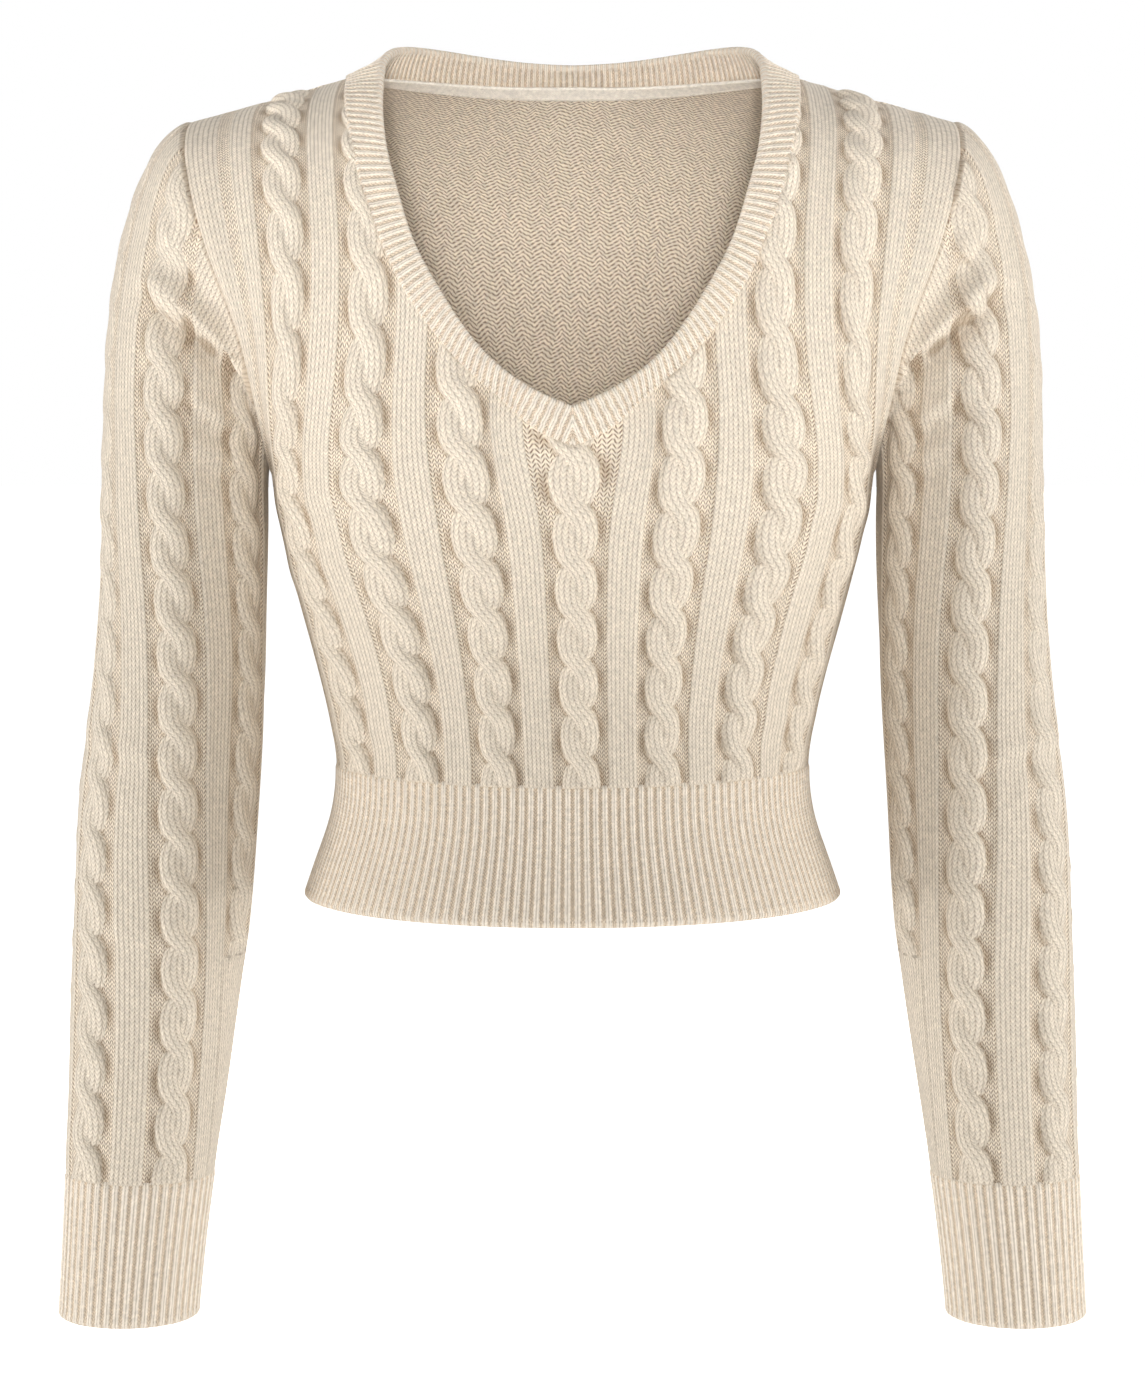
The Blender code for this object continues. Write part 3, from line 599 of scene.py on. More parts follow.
def foldHeight(across, along, folds):
    # folds: ends, width, height and how much the upper side laps over the lower
    form = foldForm
    height, shade = np.zeros_like(across), np.zeros_like(across)
    for start, end, width, rise, lap in folds:
        (x0, y0), (x1, y1) = sorted((start, end))
        length = math.hypot(x1 - x0, y1 - y0)
        tx, ty = (x1 - x0) / length, (y1 - y0) / length
        run = ((across - x0) * tx + (along - y0) * ty) / length
        away = (along - y0) * tx - (across - x0) * ty
        ends = np.clip(1 - (2 * run - 1) ** 2, 0, None)
        ends = np.where((run > 0) & (run < 1), ends, 0) ** form["fade"]
        place = away / width
        height += ends * (rise * np.exp(-place**2) + lap * form["lapScale"] * place * np.exp(-place**2))
        # a painted shadow under the lap
        shade += ends * lap / form["darkLap"] * bump(place, form["darkPlace"], form["darkWidth"])
    return height, shade


def unevenness(across, along, seed):
    # the slight waviness of hung knit, 1 at most
    waves = hangWaves
    generator = np.random.default_rng(seed)
    total = np.zeros_like(across)
    for _ in range(waves["count"]):
        length = generator.uniform(waves["shortest"], waves["longest"])
        heading = generator.uniform(-waves["lean"], waves["lean"])
        phase = generator.uniform(0, 2 * math.pi)
        wave = (across * math.cos(heading) + along * math.sin(heading)) / length
        total += np.sin(2 * math.pi * wave + phase)
    return total / waves["count"]


def linearColour(code):
    # an sRGB hex colour as linear values
    parts = [int(code[i:i + 2], 16) / 255 for i in (1, 3, 5)]
    return (*[p / 12.92 if p <= 0.04045 else ((p + 0.055) / 1.055) ** 2.4 for p in parts], 1.0)


def addNode(tree, kind, inputs=None, **settings):
    # one node with its settings; an input is a value, a socket, or a node's first output
    node = tree.nodes.new(kind)
    for name, value in settings.items():
        setattr(node, name, value)
    for key, value in (inputs or {}).items():
        if isinstance(value, bpy.types.Node):
            value = value.outputs[0]
        if isinstance(value, bpy.types.NodeSocket):
            tree.links.new(value, node.inputs[key])
        else:
            node.inputs[key].default_value = value
    return node


woolLook = {
    "yarn": "#F4E8D6",
    # painted shade: grooves between knit stitches are darkened towards this colour, and purl grooves towards
    # the purl groove colour below
    "grooveShade": "#8A6E4E",
    # the purl side's yarn is painted lighter than the knit side's, partly painted light that brightens the
    # shaded inside
    "purlYarn": "#FFF1DC",
    "purlGrooveShade": "#7E5830",
    "shadeColour": "#A8906F",  # painted shade: the colour that a crease between strands is darkened towards
    "shadeStart": 0.45,  # the crease value at which the painted shade begins
    "shadeShare": 0.55,
    "slant": 0.85,  # how many courses a leg of the V climbs
    "stagger": 0.5,  # how far, in courses, neighbouring wales part
    "roundness": 0.6,  # below 1, a leg is fuller towards its ends
    "waleShare": 0.82,  # how dark the gaps between wales are
    "waleGap": 3.5,  # above 1, the gaps are narrower
    "meeting": 0.55,  # how much of a gap shows beside a leg's crown
    "purlGap": 1.05,  # the larger, the wider the gaps between purl rows
    "purlDip": 0.42,  # courses by which a purl row dips between wales
    "purlBreak": 0.8,  # how nearly a gap closes where the yarn turns
    "zigzagClimb": 1.6,  # courses up one slope of the inside's zigzag
    "zigzagDrift": 1.5,
    "breakStep": 2.2,  # radians between the breaks of two rows inside
    "legShare": 0.36,  # how dark the gaps between the legs of a stitch are
    "legDepth": 0.8,  # mm of relief in one stitch
    "bump": 0.75,
    "wobble": 0.16,
    "stitchContrast": 0.14,
    "fuzz": 0.07,
    # sizes in mm of the hand's unevenness, of uneven stitches, of loose fibres, which are
    # finer on the real knit, and of the drift of the zigzag
    "wobbleSize": 3.846,
    "stitchSize": 2.381,
    "fibreSize": 0.5882,
    "driftSize": 14.286,
    "noiseRange": (0.3, 0.7),  # the part of a noise that is stretched to full contrast
    "roughness": 0.92,
    "sheen": 0.08,
    "sheenRoughness": 0.6,
    "specular": 0.25,
}
# the ribs' yarn is the same wool painted lighter, painted light that brightens the hem, cuffs and band
ribLook = {
    **woolLook, "yarn": "#FBF0E0", "purlYarn": "#FCEBD4", "purlGrooveShade": "#A08260", "shadeColour": "#BEA687",
    "shadeStart": 0.0, "shadeShare": 0.2, "legShare": 0.08, "waleShare": 0.8, "waleGap": 2.2, "bump": 0.6,
}
tapeLook = {
    **woolLook, "yarn": "#FFF7EA", "grooveShade": "#D8C6AE", "legShare": 0.2, "waleShare": 0.1, "bump": 0.3,
}


def knitMaterial(name, look):
    # Soft spun yarn, knitted: matt V stitches in columns, purl bumps where the attribute
    # says, painted shade in the grooves between them and in creases, and a faint sheen of loose fibre.
    material = bpy.data.materials.new(name)
    material.use_nodes = True
    tree = material.node_tree
    tree.nodes.clear()
    place = addNode(tree, "ShaderNodeUVMap", uv_map="stitch")
    where = addNode(tree, "ShaderNodeTexCoord").outputs["Object"]
    purl = addNode(tree, "ShaderNodeAttribute", attribute_name="purl").outputs["Fac"]
    crease = addNode(tree, "ShaderNodeAttribute", attribute_name="crease").outputs["Fac"]
    low, high = look["noiseRange"]

    def noise(size, detail):
        scale = 1 / (look[size] * mm)
        return addNode(tree, "ShaderNodeTexNoise", {"Vector": where, "Scale": scale, "Detail": detail})

    # uneven hand: stitches wander a little over a few millimetres
    wander = noise("wobbleSize", 2.0)
    shifted = addNode(tree, "ShaderNodeVectorMath", {0: wander.outputs["Color"], 1: (0.5, 0.5, 0.5)},
                      operation="SUBTRACT")
    scaled = addNode(tree, "ShaderNodeVectorMath", {0: shifted, "Scale": look["wobble"] * 2},
                     operation="SCALE")
    moved = addNode(tree, "ShaderNodeVectorMath", {0: place, 1: scaled}, operation="ADD")
    axes = addNode(tree, "ShaderNodeSeparateXYZ", {0: moved})
    wale, course = axes.outputs[0], axes.outputs[1]

    # knit side: two slanting legs in each wale
    inWale = addNode(tree, "ShaderNodeMath", {0: wale}, operation="FRACT")
    centred = addNode(tree, "ShaderNodeMath", {0: inWale, 1: 0.5}, operation="SUBTRACT")
    half = addNode(tree, "ShaderNodeMath", {0: centred}, operation="ABSOLUTE")
    off = addNode(tree, "ShaderNodeMath", {0: half, 1: 2.0}, operation="MULTIPLY")
    waleNumber = addNode(tree, "ShaderNodeMath", {0: wale}, operation="FLOOR")
    chance = addNode(tree, "ShaderNodeTexWhiteNoise", {"W": waleNumber}, noise_dimensions="1D")
    step = addNode(tree, "ShaderNodeMath", {0: chance.outputs["Value"], 1: look["stagger"]},
                   operation="MULTIPLY")
    climb = addNode(tree, "ShaderNodeMath", {0: off, 1: look["slant"], 2: step}, operation="MULTIPLY_ADD")
    legRow = addNode(tree, "ShaderNodeMath", {0: course, 1: climb}, operation="SUBTRACT")
    inLeg = addNode(tree, "ShaderNodeMath", {0: legRow}, operation="FRACT")
    legTurn = addNode(tree, "ShaderNodeMath", {0: inLeg, 1: math.pi}, operation="MULTIPLY")
    legSine = addNode(tree, "ShaderNodeMath", {0: legTurn}, operation="SINE")
    legRound = addNode(tree, "ShaderNodeMath", {0: legSine, 1: look["roundness"]}, operation="POWER")
    # the gaps between wales are darkest where two stitches meet
    gap = addNode(tree, "ShaderNodeMath", {0: off, 1: look["waleGap"]}, operation="POWER")
    meeting = addNode(tree, "ShaderNodeMath", {0: legRound, 1: -look["meeting"], 2: 1.0},
                      operation="MULTIPLY_ADD")
    opened = addNode(tree, "ShaderNodeMath", {0: gap, 1: meeting}, operation="MULTIPLY")
    calm = addNode(tree, "ShaderNodeMapRange", {0: purl, 1: -1.0, 2: 0.0})
    shown = addNode(tree, "ShaderNodeMath", {0: opened, 1: calm}, operation="MULTIPLY")
    ridge = addNode(tree, "ShaderNodeMath", {0: shown, 1: -look["waleShare"], 2: 1.0},
                    operation="MULTIPLY_ADD")
    leg = addNode(tree, "ShaderNodeMath", {0: legRound, 1: look["legShare"], 2: 1 - look["legShare"]},
                  operation="MULTIPLY_ADD")
    knitHeight = addNode(tree, "ShaderNodeMath", {0: ridge, 1: leg}, operation="MULTIPLY")

    # purl side: rows of small bumps that dip between the wales
    waleAngle = addNode(tree, "ShaderNodeMath", {0: wale, 1: 2 * math.pi}, operation="MULTIPLY")
    wave = addNode(tree, "ShaderNodeMath", {0: waleAngle}, operation="COSINE")
    bent = addNode(tree, "ShaderNodeMath", {0: wave, 1: look["purlDip"], 2: course},
                   operation="MULTIPLY_ADD")
    # the inside is a broad, uneven zigzag of the same rows
    inside = addNode(tree, "ShaderNodeMapRange", {0: purl, 1: 1.0, 2: 2.0})
    wandered = addNode(tree, "ShaderNodeMath", {0: noise("driftSize", 1.0), 1: look["zigzagDrift"], 2: wale},
                       operation="MULTIPLY_ADD")
    zigzag = addNode(tree, "ShaderNodeMath", {0: wandered, 1: 1.0}, operation="PINGPONG")
    climbing = addNode(tree, "ShaderNodeMath", {0: zigzag, 1: look["zigzagClimb"], 2: course},
                       operation="MULTIPLY_ADD")
    purlRow = addNode(tree, "ShaderNodeMix", {0: inside, 2: bent, 3: climbing}, data_type="FLOAT")
    inRow = addNode(tree, "ShaderNodeMath", {0: purlRow}, operation="FRACT")
    rowTurn = addNode(tree, "ShaderNodeMath", {0: inRow, 1: math.pi}, operation="MULTIPLY")
    rowSine = addNode(tree, "ShaderNodeMath", {0: rowTurn}, operation="SINE")
    rowRound = addNode(tree, "ShaderNodeMath", {0: rowSine, 1: look["purlGap"]}, operation="POWER")
    # broken where the yarn turns
    rowNumber = addNode(tree, "ShaderNodeMath", {0: purlRow}, operation="FLOOR")
    stepped = addNode(tree, "ShaderNodeMath", {0: rowNumber, 1: inside}, operation="MULTIPLY")
    turned = addNode(tree, "ShaderNodeMath", {0: stepped, 1: look["breakStep"], 2: waleAngle},
                     operation="MULTIPLY_ADD")
    side = addNode(tree, "ShaderNodeMath", {0: turned}, operation="SINE")
    steep = addNode(tree, "ShaderNodeMath", {0: side}, operation="ABSOLUTE")
    dash = addNode(tree, "ShaderNodeMath", {0: steep, 1: look["purlBreak"], 2: 1 - look["purlBreak"]},
                   operation="MULTIPLY_ADD")
    between = addNode(tree, "ShaderNodeMath", {0: 1.0, 1: rowRound}, operation="SUBTRACT")
    dark = addNode(tree, "ShaderNodeMath", {0: between, 1: dash}, operation="MULTIPLY")
    purlHeight = addNode(tree, "ShaderNodeMath", {0: 1.0, 1: dark}, operation="SUBTRACT")

    height = addNode(tree, "ShaderNodeMix", {0: purl, 2: knitHeight, 3: purlHeight}, data_type="FLOAT")
    # the colour runs from the grooves' painted shade to the yarn with the stitch's height
    knitColour = addNode(tree, "ShaderNodeMix", {
        0: height, 6: linearColour(look["grooveShade"]), 7: linearColour(look["yarn"])}, data_type="RGBA")
    purlColour = addNode(tree, "ShaderNodeMix", {
        0: height, 6: linearColour(look["purlGrooveShade"]), 7: linearColour(look["purlYarn"])}, data_type="RGBA")
    colour = addNode(tree, "ShaderNodeMix", {0: purl, 6: knitColour.outputs[2], 7: purlColour.outputs[2]},
                     data_type="RGBA")
    # some stitches catch more light than others
    contrast = look["stitchContrast"]
    tone = addNode(tree, "ShaderNodeMapRange", {
        0: noise("stitchSize", 3.0), 1: low, 2: high, 3: 1 - contrast, 4: 1 + contrast / 2})
    # loose fibres blur the stitches
    fuzz = look["fuzz"]
    haze = addNode(tree, "ShaderNodeMapRange", {
        0: noise("fibreSize", 2.0), 1: low, 2: high, 3: 1 - fuzz, 4: 1 + fuzz / 2})
    # painted shade: creases between strands are darkened where they keep out the light
    sunk = addNode(tree, "ShaderNodeMapRange", {
        0: crease, 1: look["shadeStart"], 2: 1.0, 3: 0.0, 4: look["shadeShare"]})
    hollowShade = addNode(tree, "ShaderNodeMix", {0: sunk, 6: colour.outputs[2], 7: linearColour(look["shadeColour"])},
                     data_type="RGBA", blend_type="MULTIPLY")
    shaded = addNode(tree, "ShaderNodeVectorMath", {0: hollowShade.outputs[2], "Scale": tone}, operation="SCALE")
    fuzzy = addNode(tree, "ShaderNodeVectorMath", {0: shaded, "Scale": haze}, operation="SCALE")
    relief = addNode(tree, "ShaderNodeBump", {
        "Strength": look["bump"], "Distance": look["legDepth"] * mm, "Height": height})
    shader = addNode(tree, "ShaderNodeBsdfPrincipled", {
        "Base Color": fuzzy, "Normal": relief, "Roughness": look["roughness"], "Metallic": 0.0,
        "Sheen Weight": look["sheen"], "Sheen Roughness": look["sheenRoughness"],
        "Specular IOR Level": look["specular"]})
    addNode(tree, "ShaderNodeOutputMaterial", {"Surface": shader})
    return material


def threadMaterial(name, code):
    # spun cotton thread, smooth and a little lighter than the wool, with a soft dull shine
    material = bpy.data.materials.new(name)
    material.use_nodes = True
    shader = material.node_tree.nodes["Principled BSDF"]
    shader.inputs["Base Color"].default_value = linearColour(code)
    shader.inputs["Roughness"].default_value = 0.7
    return material


cableWool = knitMaterial("cable knit wool", woolLook)
ribWool = knitMaterial("rib knit wool", ribLook)
tapeCotton = knitMaterial("knitted cotton tape", tapeLook)
sewingThread = threadMaterial("cotton sewing thread", "#FBF2E4")
print("materials made")


# the front and the back
panelKnit = {
    "halfWidth": 188.0,  # pattern width from the middle to the side seam
    "rows": 284,
    "innerRowStep": 4,  # the inside takes one row in so many
    "innerColumnStep": 5,
    "lengthUp": 485.8,  # along the middle, from the hem's edge to the shoulder
    "wall": 2.5,
    "seamWidth": 3.2,  # how far from a seam the cables have sunk away
    "shoulderFade": 11.0,  # and the same at the shoulder seam
    "shoulderRelief": 0.15,  # the share of the relief that is left there
    "ribFade": 1.6,  # and the same where the hem's rib starts
    "seamReach": 8.0,  # how far from a seam the distance to it is still looked up
    "farReach": 14.0,  # and the same for the armholes and shoulders
    "seamDip": 0.2,
    "driftFall": 4,  # the power by which the pattern's drift dies out towards the sides
    # under the point of the V the plain knit bows away from the middle cable: how far, the
    # height of its middle, its reach up and down, and where across the bow comes and goes
    "bow": 6.5,
    "bowZ": -150.0,
    "bowReach": 26.0,
    "bowStart": (8.0, 17.0),
    "bowEnd": (21.0, 41.0),
    # the corner of the side at the underarm doesn't reach into the cloth
    "easeRows": 9,
    "easeWidth": 0.13,
    "easeReach": 45.0,
    # the front's edge rolls over the sleeve: how high, its middle and width from the armhole's
    # edge, and the heights between which it comes
    "lip": 1.2,
    "lipPlace": 4.2,
    "lipWidth": 2.6,
    "lipHeights": (-25.0, -75.0),
    "waviness": 0.9,
    "calmSide": 14.0,  # waves and folds die out this far from a side
    "calmFoot": 12.0,  # and this far from the rib
}
# how far up from the rib each crossing lies, and its number
crossings = (
    (-10.5, -1), (13.5, 0), (37.5, 1), (86.5, 3), (138.5, 5), (166, 6), (195, 7), (227.5, 8),
    (260.5, 9), (317, 11), (371, 13), (421, 14.8),
)
# the pattern's sideways drift on the front, by height
driftZ, driftX = (-320.0, -250.0, -180.0, -120.0, 60.0), (5.0, 2.5, 0.8, -0.5, -0.5)


def patternColumns(centres, end):
    # places across the pattern: close together on a cable, wider on plain knit
    knit = cableKnit
    cell = np.concatenate([
        np.linspace(0, knit["cableHalf"], knit["cableColumns"]),
        np.linspace(knit["cableHalf"], knit["gutterHalf"], knit["gutterColumns"])[1:],
    ])
    cell = np.concatenate([-cell[:0:-1], cell])
    places = [centres[0] + cell]
    for centre in centres[1:]:
        gap = np.linspace(places[-1][-1], centre + cell[0], knit["panelColumns"])[1:-1]
        places += [gap, centre + cell]
    foot = places[0][0]
    margin = max(3, int(round((foot + end) / knit["marginStep"])))
    before = np.linspace(-end, foot, margin + 1)[:-1]
    after = np.linspace(-foot, end, margin + 1)[1:]
    return np.concatenate([before, *places, after])


def cableShell(name, outer, faces, inner, innerFaces, patternX, turns, crease, shift, fan=None):
    # a closed piece of cable knit; pattern values are given for the outer face, then the inner
    points, allFaces = closedShell(outer, faces, inner, innerFaces)
    outside = np.arange(len(allFaces)) < len(faces)
    corners, purl = stitchCorners(patternX, turns, allFaces, outside, shift, fan)
    crease = np.concatenate([crease, np.zeros(len(inner))])
    made = meshObject(name, points, allFaces, corners, purl, crease=crease)
    made.data.materials.append(cableWool)
    print(name, len(allFaces), "triangles")
    return made


def panelBase(sections, facing, folds, seed):
    # the panel's surface with its waves and folds, each point's place in the pattern, how dark
    # the folds make it, and the levels of its rows
    knit = panelKnit
    marks = readSections(sections)[1]
    centres = [cableKnit["repeat"] * i for i in range(-lastCable, lastCable + 1)]
    x = patternColumns(centres, knit["halfWidth"])
    levels = np.linspace(marks[ribTopRow], 1, knit["rows"] + 1)
    column = np.broadcast_to(x / knit["halfWidth"], (len(levels), len(x)))
    if facing > 0:
        middleZ = bodyGrid(sections, levels, columns=np.array([0.0]))[:, 0, 2]
        drift = np.interp(middleZ, driftZ, driftX)[:, None]
        column = column + drift * (1 - np.abs(column) ** knit["driftFall"]) / knit["halfWidth"]
        bow = smooth(*knit["bowStart"], np.abs(x)) * (1 - smooth(*knit["bowEnd"], np.abs(x))) * np.sign(x)
        reach = bump(middleZ, knit["bowZ"], knit["bowReach"])[:, None]
        column = column + bow * knit["bow"] * reach / knit["halfWidth"]
    base = bodyGrid(sections, levels, columns=column)
    up = (levels - marks[ribTopRow]) * knit["lengthUp"]
    underarmUp = (marks[underarmRow] - marks[ribTopRow]) * knit["lengthUp"]
    eased = base
    for _ in range(3):
        eased = blurred(eased, knit["easeRows"], 0)
    corner = bump(up, underarmUp, knit["easeReach"])[:, None]
    ease = smooth(0, knit["easeWidth"], 1 - np.abs(column)) * corner
    base = base + (eased - base) * ease[..., None]
    turnRow = naturalSpline(*np.array(crossings).T, up)
    seen = x * facing  # left to right as seen from outside
    patternX, turns = np.broadcast_arrays(seen[None, :], turnRow[:, None])
    along = np.broadcast_to(up[:, None], patternX.shape)
    normals = gridNormals(base, facing)
    folded, shade = foldHeight(base[..., 0], base[..., 2], folds)
    soft = knit["waviness"] * unevenness(patternX, along, seed) + folded
    fromSide = knit["halfWidth"] - np.abs(patternX)
    calm = smooth(0, knit["calmSide"], fromSide) * smooth(0, knit["calmFoot"], along)
    base = base + normals * (soft * calm)[..., None]
    return base, gridNormals(base, facing), patternX, turns, shade, levels


def panelSeams(base, levels, sections, cut):
    # the sides, the armholes, the neck and the shoulders, as runs of points
    low = levels <= readSections(sections)[1][underarmRow]
    sides, armholes = (np.concatenate([base[rows][:, 0], base[rows][:, -1]]) for rows in (low, ~low))
    half = neckSeam(sections, cut)
    neck = np.concatenate([half[:0:-1] * (-1, 1, 1), half])
    shoulders = base[-1][np.abs(base[-1][:, 0]) > neckPointX]
    return sides, armholes, neck, shoulders


def makePanel(name, sections, cut, facing, folds, seed):
    knit = panelKnit
    base, normals, patternX, turns, shade, levels = panelBase(sections, facing, folds, seed)
    sides, armholes, neck, shoulders = panelSeams(base, levels, sections, cut)

    def cutOut(grid, surface):
        # one face of the panel, without the neck opening
        flat = grid.reshape(-1, grid.shape[2])
        return trimmed(flat, gridTriangles(surface, False)[:, ::facing], cut(flat[:, :3]))

    relief = cableRelief(patternX, turns, 0.0)
    # painted shade in the creases between strands and in the folds' shadows
    dark = np.clip(creaseShade(relief) + shade, cableKnit["crownLimit"], 1)
    grid = np.concatenate([base, normals, np.stack([patternX, turns, dark], axis=2)], axis=2)
    flat, faces = cutOut(grid, base + normals * relief[..., None])
    points, normal, (outerX, outerTurns, dark) = flat[:, :3], flat[:, 3:6], flat[:, 6:].T
    relief = cableRelief(outerX, outerTurns, 0.0)
    seamAway = np.minimum(*(seamDistance(points, seam, knit["seamReach"]) for seam in (sides, neck)))
    shoulderAway = seamDistance(points, shoulders, knit["farReach"])
    armAway = seamDistance(points, armholes, knit["farReach"])
    ribAway = seamDistance(points, base[0], knit["seamReach"])
    near = smooth(0, knit["seamWidth"], np.minimum(seamAway, armAway))
    left = knit["shoulderRelief"]
    near = near * (left + (1 - left) * smooth(0, knit["shoulderFade"], shoulderAway))
    nearRib = smooth(0, knit["ribFade"], ribAway)
    raised = relief * near * nearRib - knit["seamDip"] * (1 - near)
    if facing > 0:
        comes = smooth(*knit["lipHeights"], points[:, 2])
        raised += knit["lip"] * bump(armAway, knit["lipPlace"], knit["lipWidth"]) * comes
    outer = points + normal * raised[:, None]

    coarse = coarser(grid, knit["innerRowStep"], knit["innerColumnStep"])
    flat, innerFaces = cutOut(coarse, coarse[..., :3])
    inner = flat[:, :3] - flat[:, 3:6] * knit["wall"]
    allX, allTurns = np.concatenate([outerX, flat[:, 6]]), np.concatenate([outerTurns, flat[:, 7]])
    crease = dark * near * nearRib
    return cableShell(name, outer, faces, inner, innerFaces, allX, allTurns, crease, 0.0)


# ends in x and z, width, height, lap
frontFolds = (
    ((-151, -196), (-96, -176), 10.0, 0.9, 0.5),
    ((151, -199), (100, -181), 10.0, 0.8, 0.6),
    ((-148, -228), (-104, -216), 9.0, 0.6, 0.3),
    ((-122, -306), (-62, -290), 9.0, 0.6, 0.4),
    ((124, -300), (70, -287), 9.0, 0.7, 0.3),
)
backFolds = (
    ((-158, -128), (-88, -168), 12.0, 1.3, 0.7),
    ((158, -131), (96, -163), 12.0, 1.1, 0.8),
    ((-120, -296), (34, -281), 11.0, 1.3, 0.7),
    ((118, -306), (-18, -300), 10.0, 0.9, 0.6),
    ((-96, -262), (70, -256), 13.0, 0.8, 0.5),
    ((-60, -6), (64, -9), 14.0, -0.9, 0.3),
)
front = makePanel("front_cloth", frontSections, frontCut, 1, frontFolds, 11)
back = makePanel("back_cloth", backSections, backCut, -1, backFolds, 12)


# the sleeves; the values are for the wearer's left, and the right is its mirror
sleeveKnit = {
    "halfRound": 147.2,  # pattern width from the outer line to the underarm seam
    "armRows": 236,
    "capRows": 92,
    "innerStep": 5,  # the inside takes one row and column in so many
    "capEase": 0.1,  # 0 for a cap as round as a quarter circle, 1 for a straight one
    "firstCrossing": 16.5,  # from the cuff
    "turnLength": 26.0,
    "reliefShare": 0.85,  # how high the cables stand beside the body's
    "waviness": 1.1,
    "calmFoot": 18.0,  # waves and folds die out this far from the cuff
    "calmTop": 9.0,  # and this far from the armhole
    "foldBlend": 16.0,  # front and back folds pass into each other this far from the outer line
    "seamDip": 0.2,
    "seamWidth": 3.0,  # how far from a seam the cables have sunk away
    "ribFade": 1.6,
    "seamShade": 0.9,  # how dark the knit is where it goes in under the body
    "shadeReach": (5.5, 1.5),
    "tuckDepth": 3.0,  # the raw edge is tucked in under the body
    "tuck": 2.0,
    "tuckDrop": 1.0,
    "wall": 2.5,
    "roomInside": 1.2,  # mm the coarse inside keeps clear of the outside, more in creases
    # plain knit fans out from the armhole's front, above a line beside the main crease and
    # inside a place in the pattern, at a lean in degrees and with its own stitch sizes
    "fanLineX": (156, 208, 240),
    "fanLineZ": (-121, -77, -60),
    "fanStart": 86.0,
    "fanBlend": (8.0, 6.0),
    "fanLean": 26.0,
    "fanWale": 2.5,
    "fanCourse": 2.1,
    # two cables are pulled flat in places: how much, and the heights between which that comes
    "flatReach": 16.0,
    "outerCable": 23.5,
    "outerAtShoulder": (0.5, -205.0, -150.0),
    "outerAtElbow": (0.35, -380.0, -250.0),
    "mainCable": 70.5,
    "mainAtShoulder": (0.4, -105.0, -60.0),
    # near the cuff the underarm seam has taken the last cable up
    "takenUpX": (101.0, 102.5),
    "takenUpZ": (-400.0, -425.0),
}


class SleeveTube:
    # the arm as a run of rings, read at a distance round from its outer line and a height
    def __init__(self):
        rows = {n: np.array(v, float) for n, v in zip(sleeveNames, zip(*sleeveSections))}
        order = np.argsort(rows["z"])
        self.steps = sampling["tubeSteps"]
        self.z = np.linspace(cuffEndZ, capEndOuterZ, sampling["tubeLevels"])
        self.row = {n: naturalSpline(rows["z"][order], rows[n][order], self.z) for n in sleeveNames}
        angles = np.linspace(0, 2 * math.pi, self.steps + 1)
        start = np.radians(self.row["twist"])[:, None]
        x = self.row["halfWidth"][:, None] * np.cos(angles + start)
        y = -self.row["halfDepth"][:, None] * np.sin(angles + start)
        steps = np.hypot(np.diff(x, axis=1), np.diff(y, axis=1))
        along = np.concatenate([np.zeros((len(self.z), 1)), np.cumsum(steps, axis=1)], axis=1)
        self.round = along[:, -1]
        wanted = np.linspace(0, 1, self.steps + 1)
        self.turn = np.array([np.interp(wanted, run / run[-1], angles) for run in along])

    def points(self, share, z):
        # share of the whole ring, any sign; z of the same shape
        share = np.mod(share, 1.0) * self.steps
        level = (z - self.z[0]) / (self.z[1] - self.z[0])
        i = np.clip(level.astype(int), 0, len(self.z) - 2)
        j = np.clip(share.astype(int), 0, self.steps - 1)
        a, b = level - i, share - j
        turn = ((1 - a) * ((1 - b) * self.turn[i, j] + b * self.turn[i, j + 1])
                + a * ((1 - b) * self.turn[i + 1, j] + b * self.turn[i + 1, j + 1]))
        row = {n: np.interp(z, self.z, self.row[n]) for n in sleeveNames}
        angle = turn + np.radians(row["twist"])
        x = row["centreX"] + row["halfWidth"] * np.cos(angle)
        y = row["centreY"] - row["halfDepth"] * np.sin(angle)
        return np.stack([x, y, z], axis=-1)

    def halfRound(self, z):
        return np.interp(z, self.z, self.round) / 2


def cableSpread(x, z, tube):
    # real distance round the sleeve of a place in the pattern, at one height
    rows = np.array(sleeveCables)
    order = np.argsort(rows[:, 0])
    cables = naturalSpline(rows[order, 0], rows[order, 1:], np.clip(z, cuffEndZ, capEndOuterZ))
    half = tube.halfRound(z)
    repeat = cableKnit["repeat"]
    knots = np.array([-sleeveKnit["halfRound"], *(repeat * (i + 0.5) for i in range(-3, 3)),
                      sleeveKnit["halfRound"]])
    values = np.concatenate([[-half], cables, [half]])
    return naturalSpline(knots, values, x)


def fanShare(patternX, x, z):
    # 1 in the plain knit between the armhole, the main crease and the main cable's gutter
    knit = sleeveKnit
    up, across = knit["fanBlend"]
    aboveLine = (z - np.interp(x, knit["fanLineX"], knit["fanLineZ"])) / up
    return smooth(-0.5, 0.5, np.minimum(aboveLine, (patternX - knit["fanStart"]) / across))


def cableFullness(x, z):
    # how full the cables stand
    knit = sleeveKnit

    def pulled(key):
        share, start, end = knit[key]
        return share * smooth(start, end, z)

    outer = bump(np.abs(x), knit["outerCable"], knit["flatReach"])
    main = bump(np.abs(x), knit["mainCable"], knit["flatReach"])
    outer = outer * (pulled("outerAtShoulder") + pulled("outerAtElbow"))
    return np.clip(1 - outer - main * pulled("mainAtShoulder"), 0, 1)


def takenUp(x, z):
    # 1 where the last cable has gone into the underarm seam and the knit is plain
    return smooth(*sleeveKnit["takenUpX"], np.abs(x)) * smooth(*sleeveKnit["takenUpZ"], z)


def armholeRun(sections):
    marks = readSections(sections)[1]
    levels = np.linspace(1, marks[underarmRow], sampling["armhole"])
    return bodyGrid(sections, levels, columns=np.array([1.0]))[:, 0]


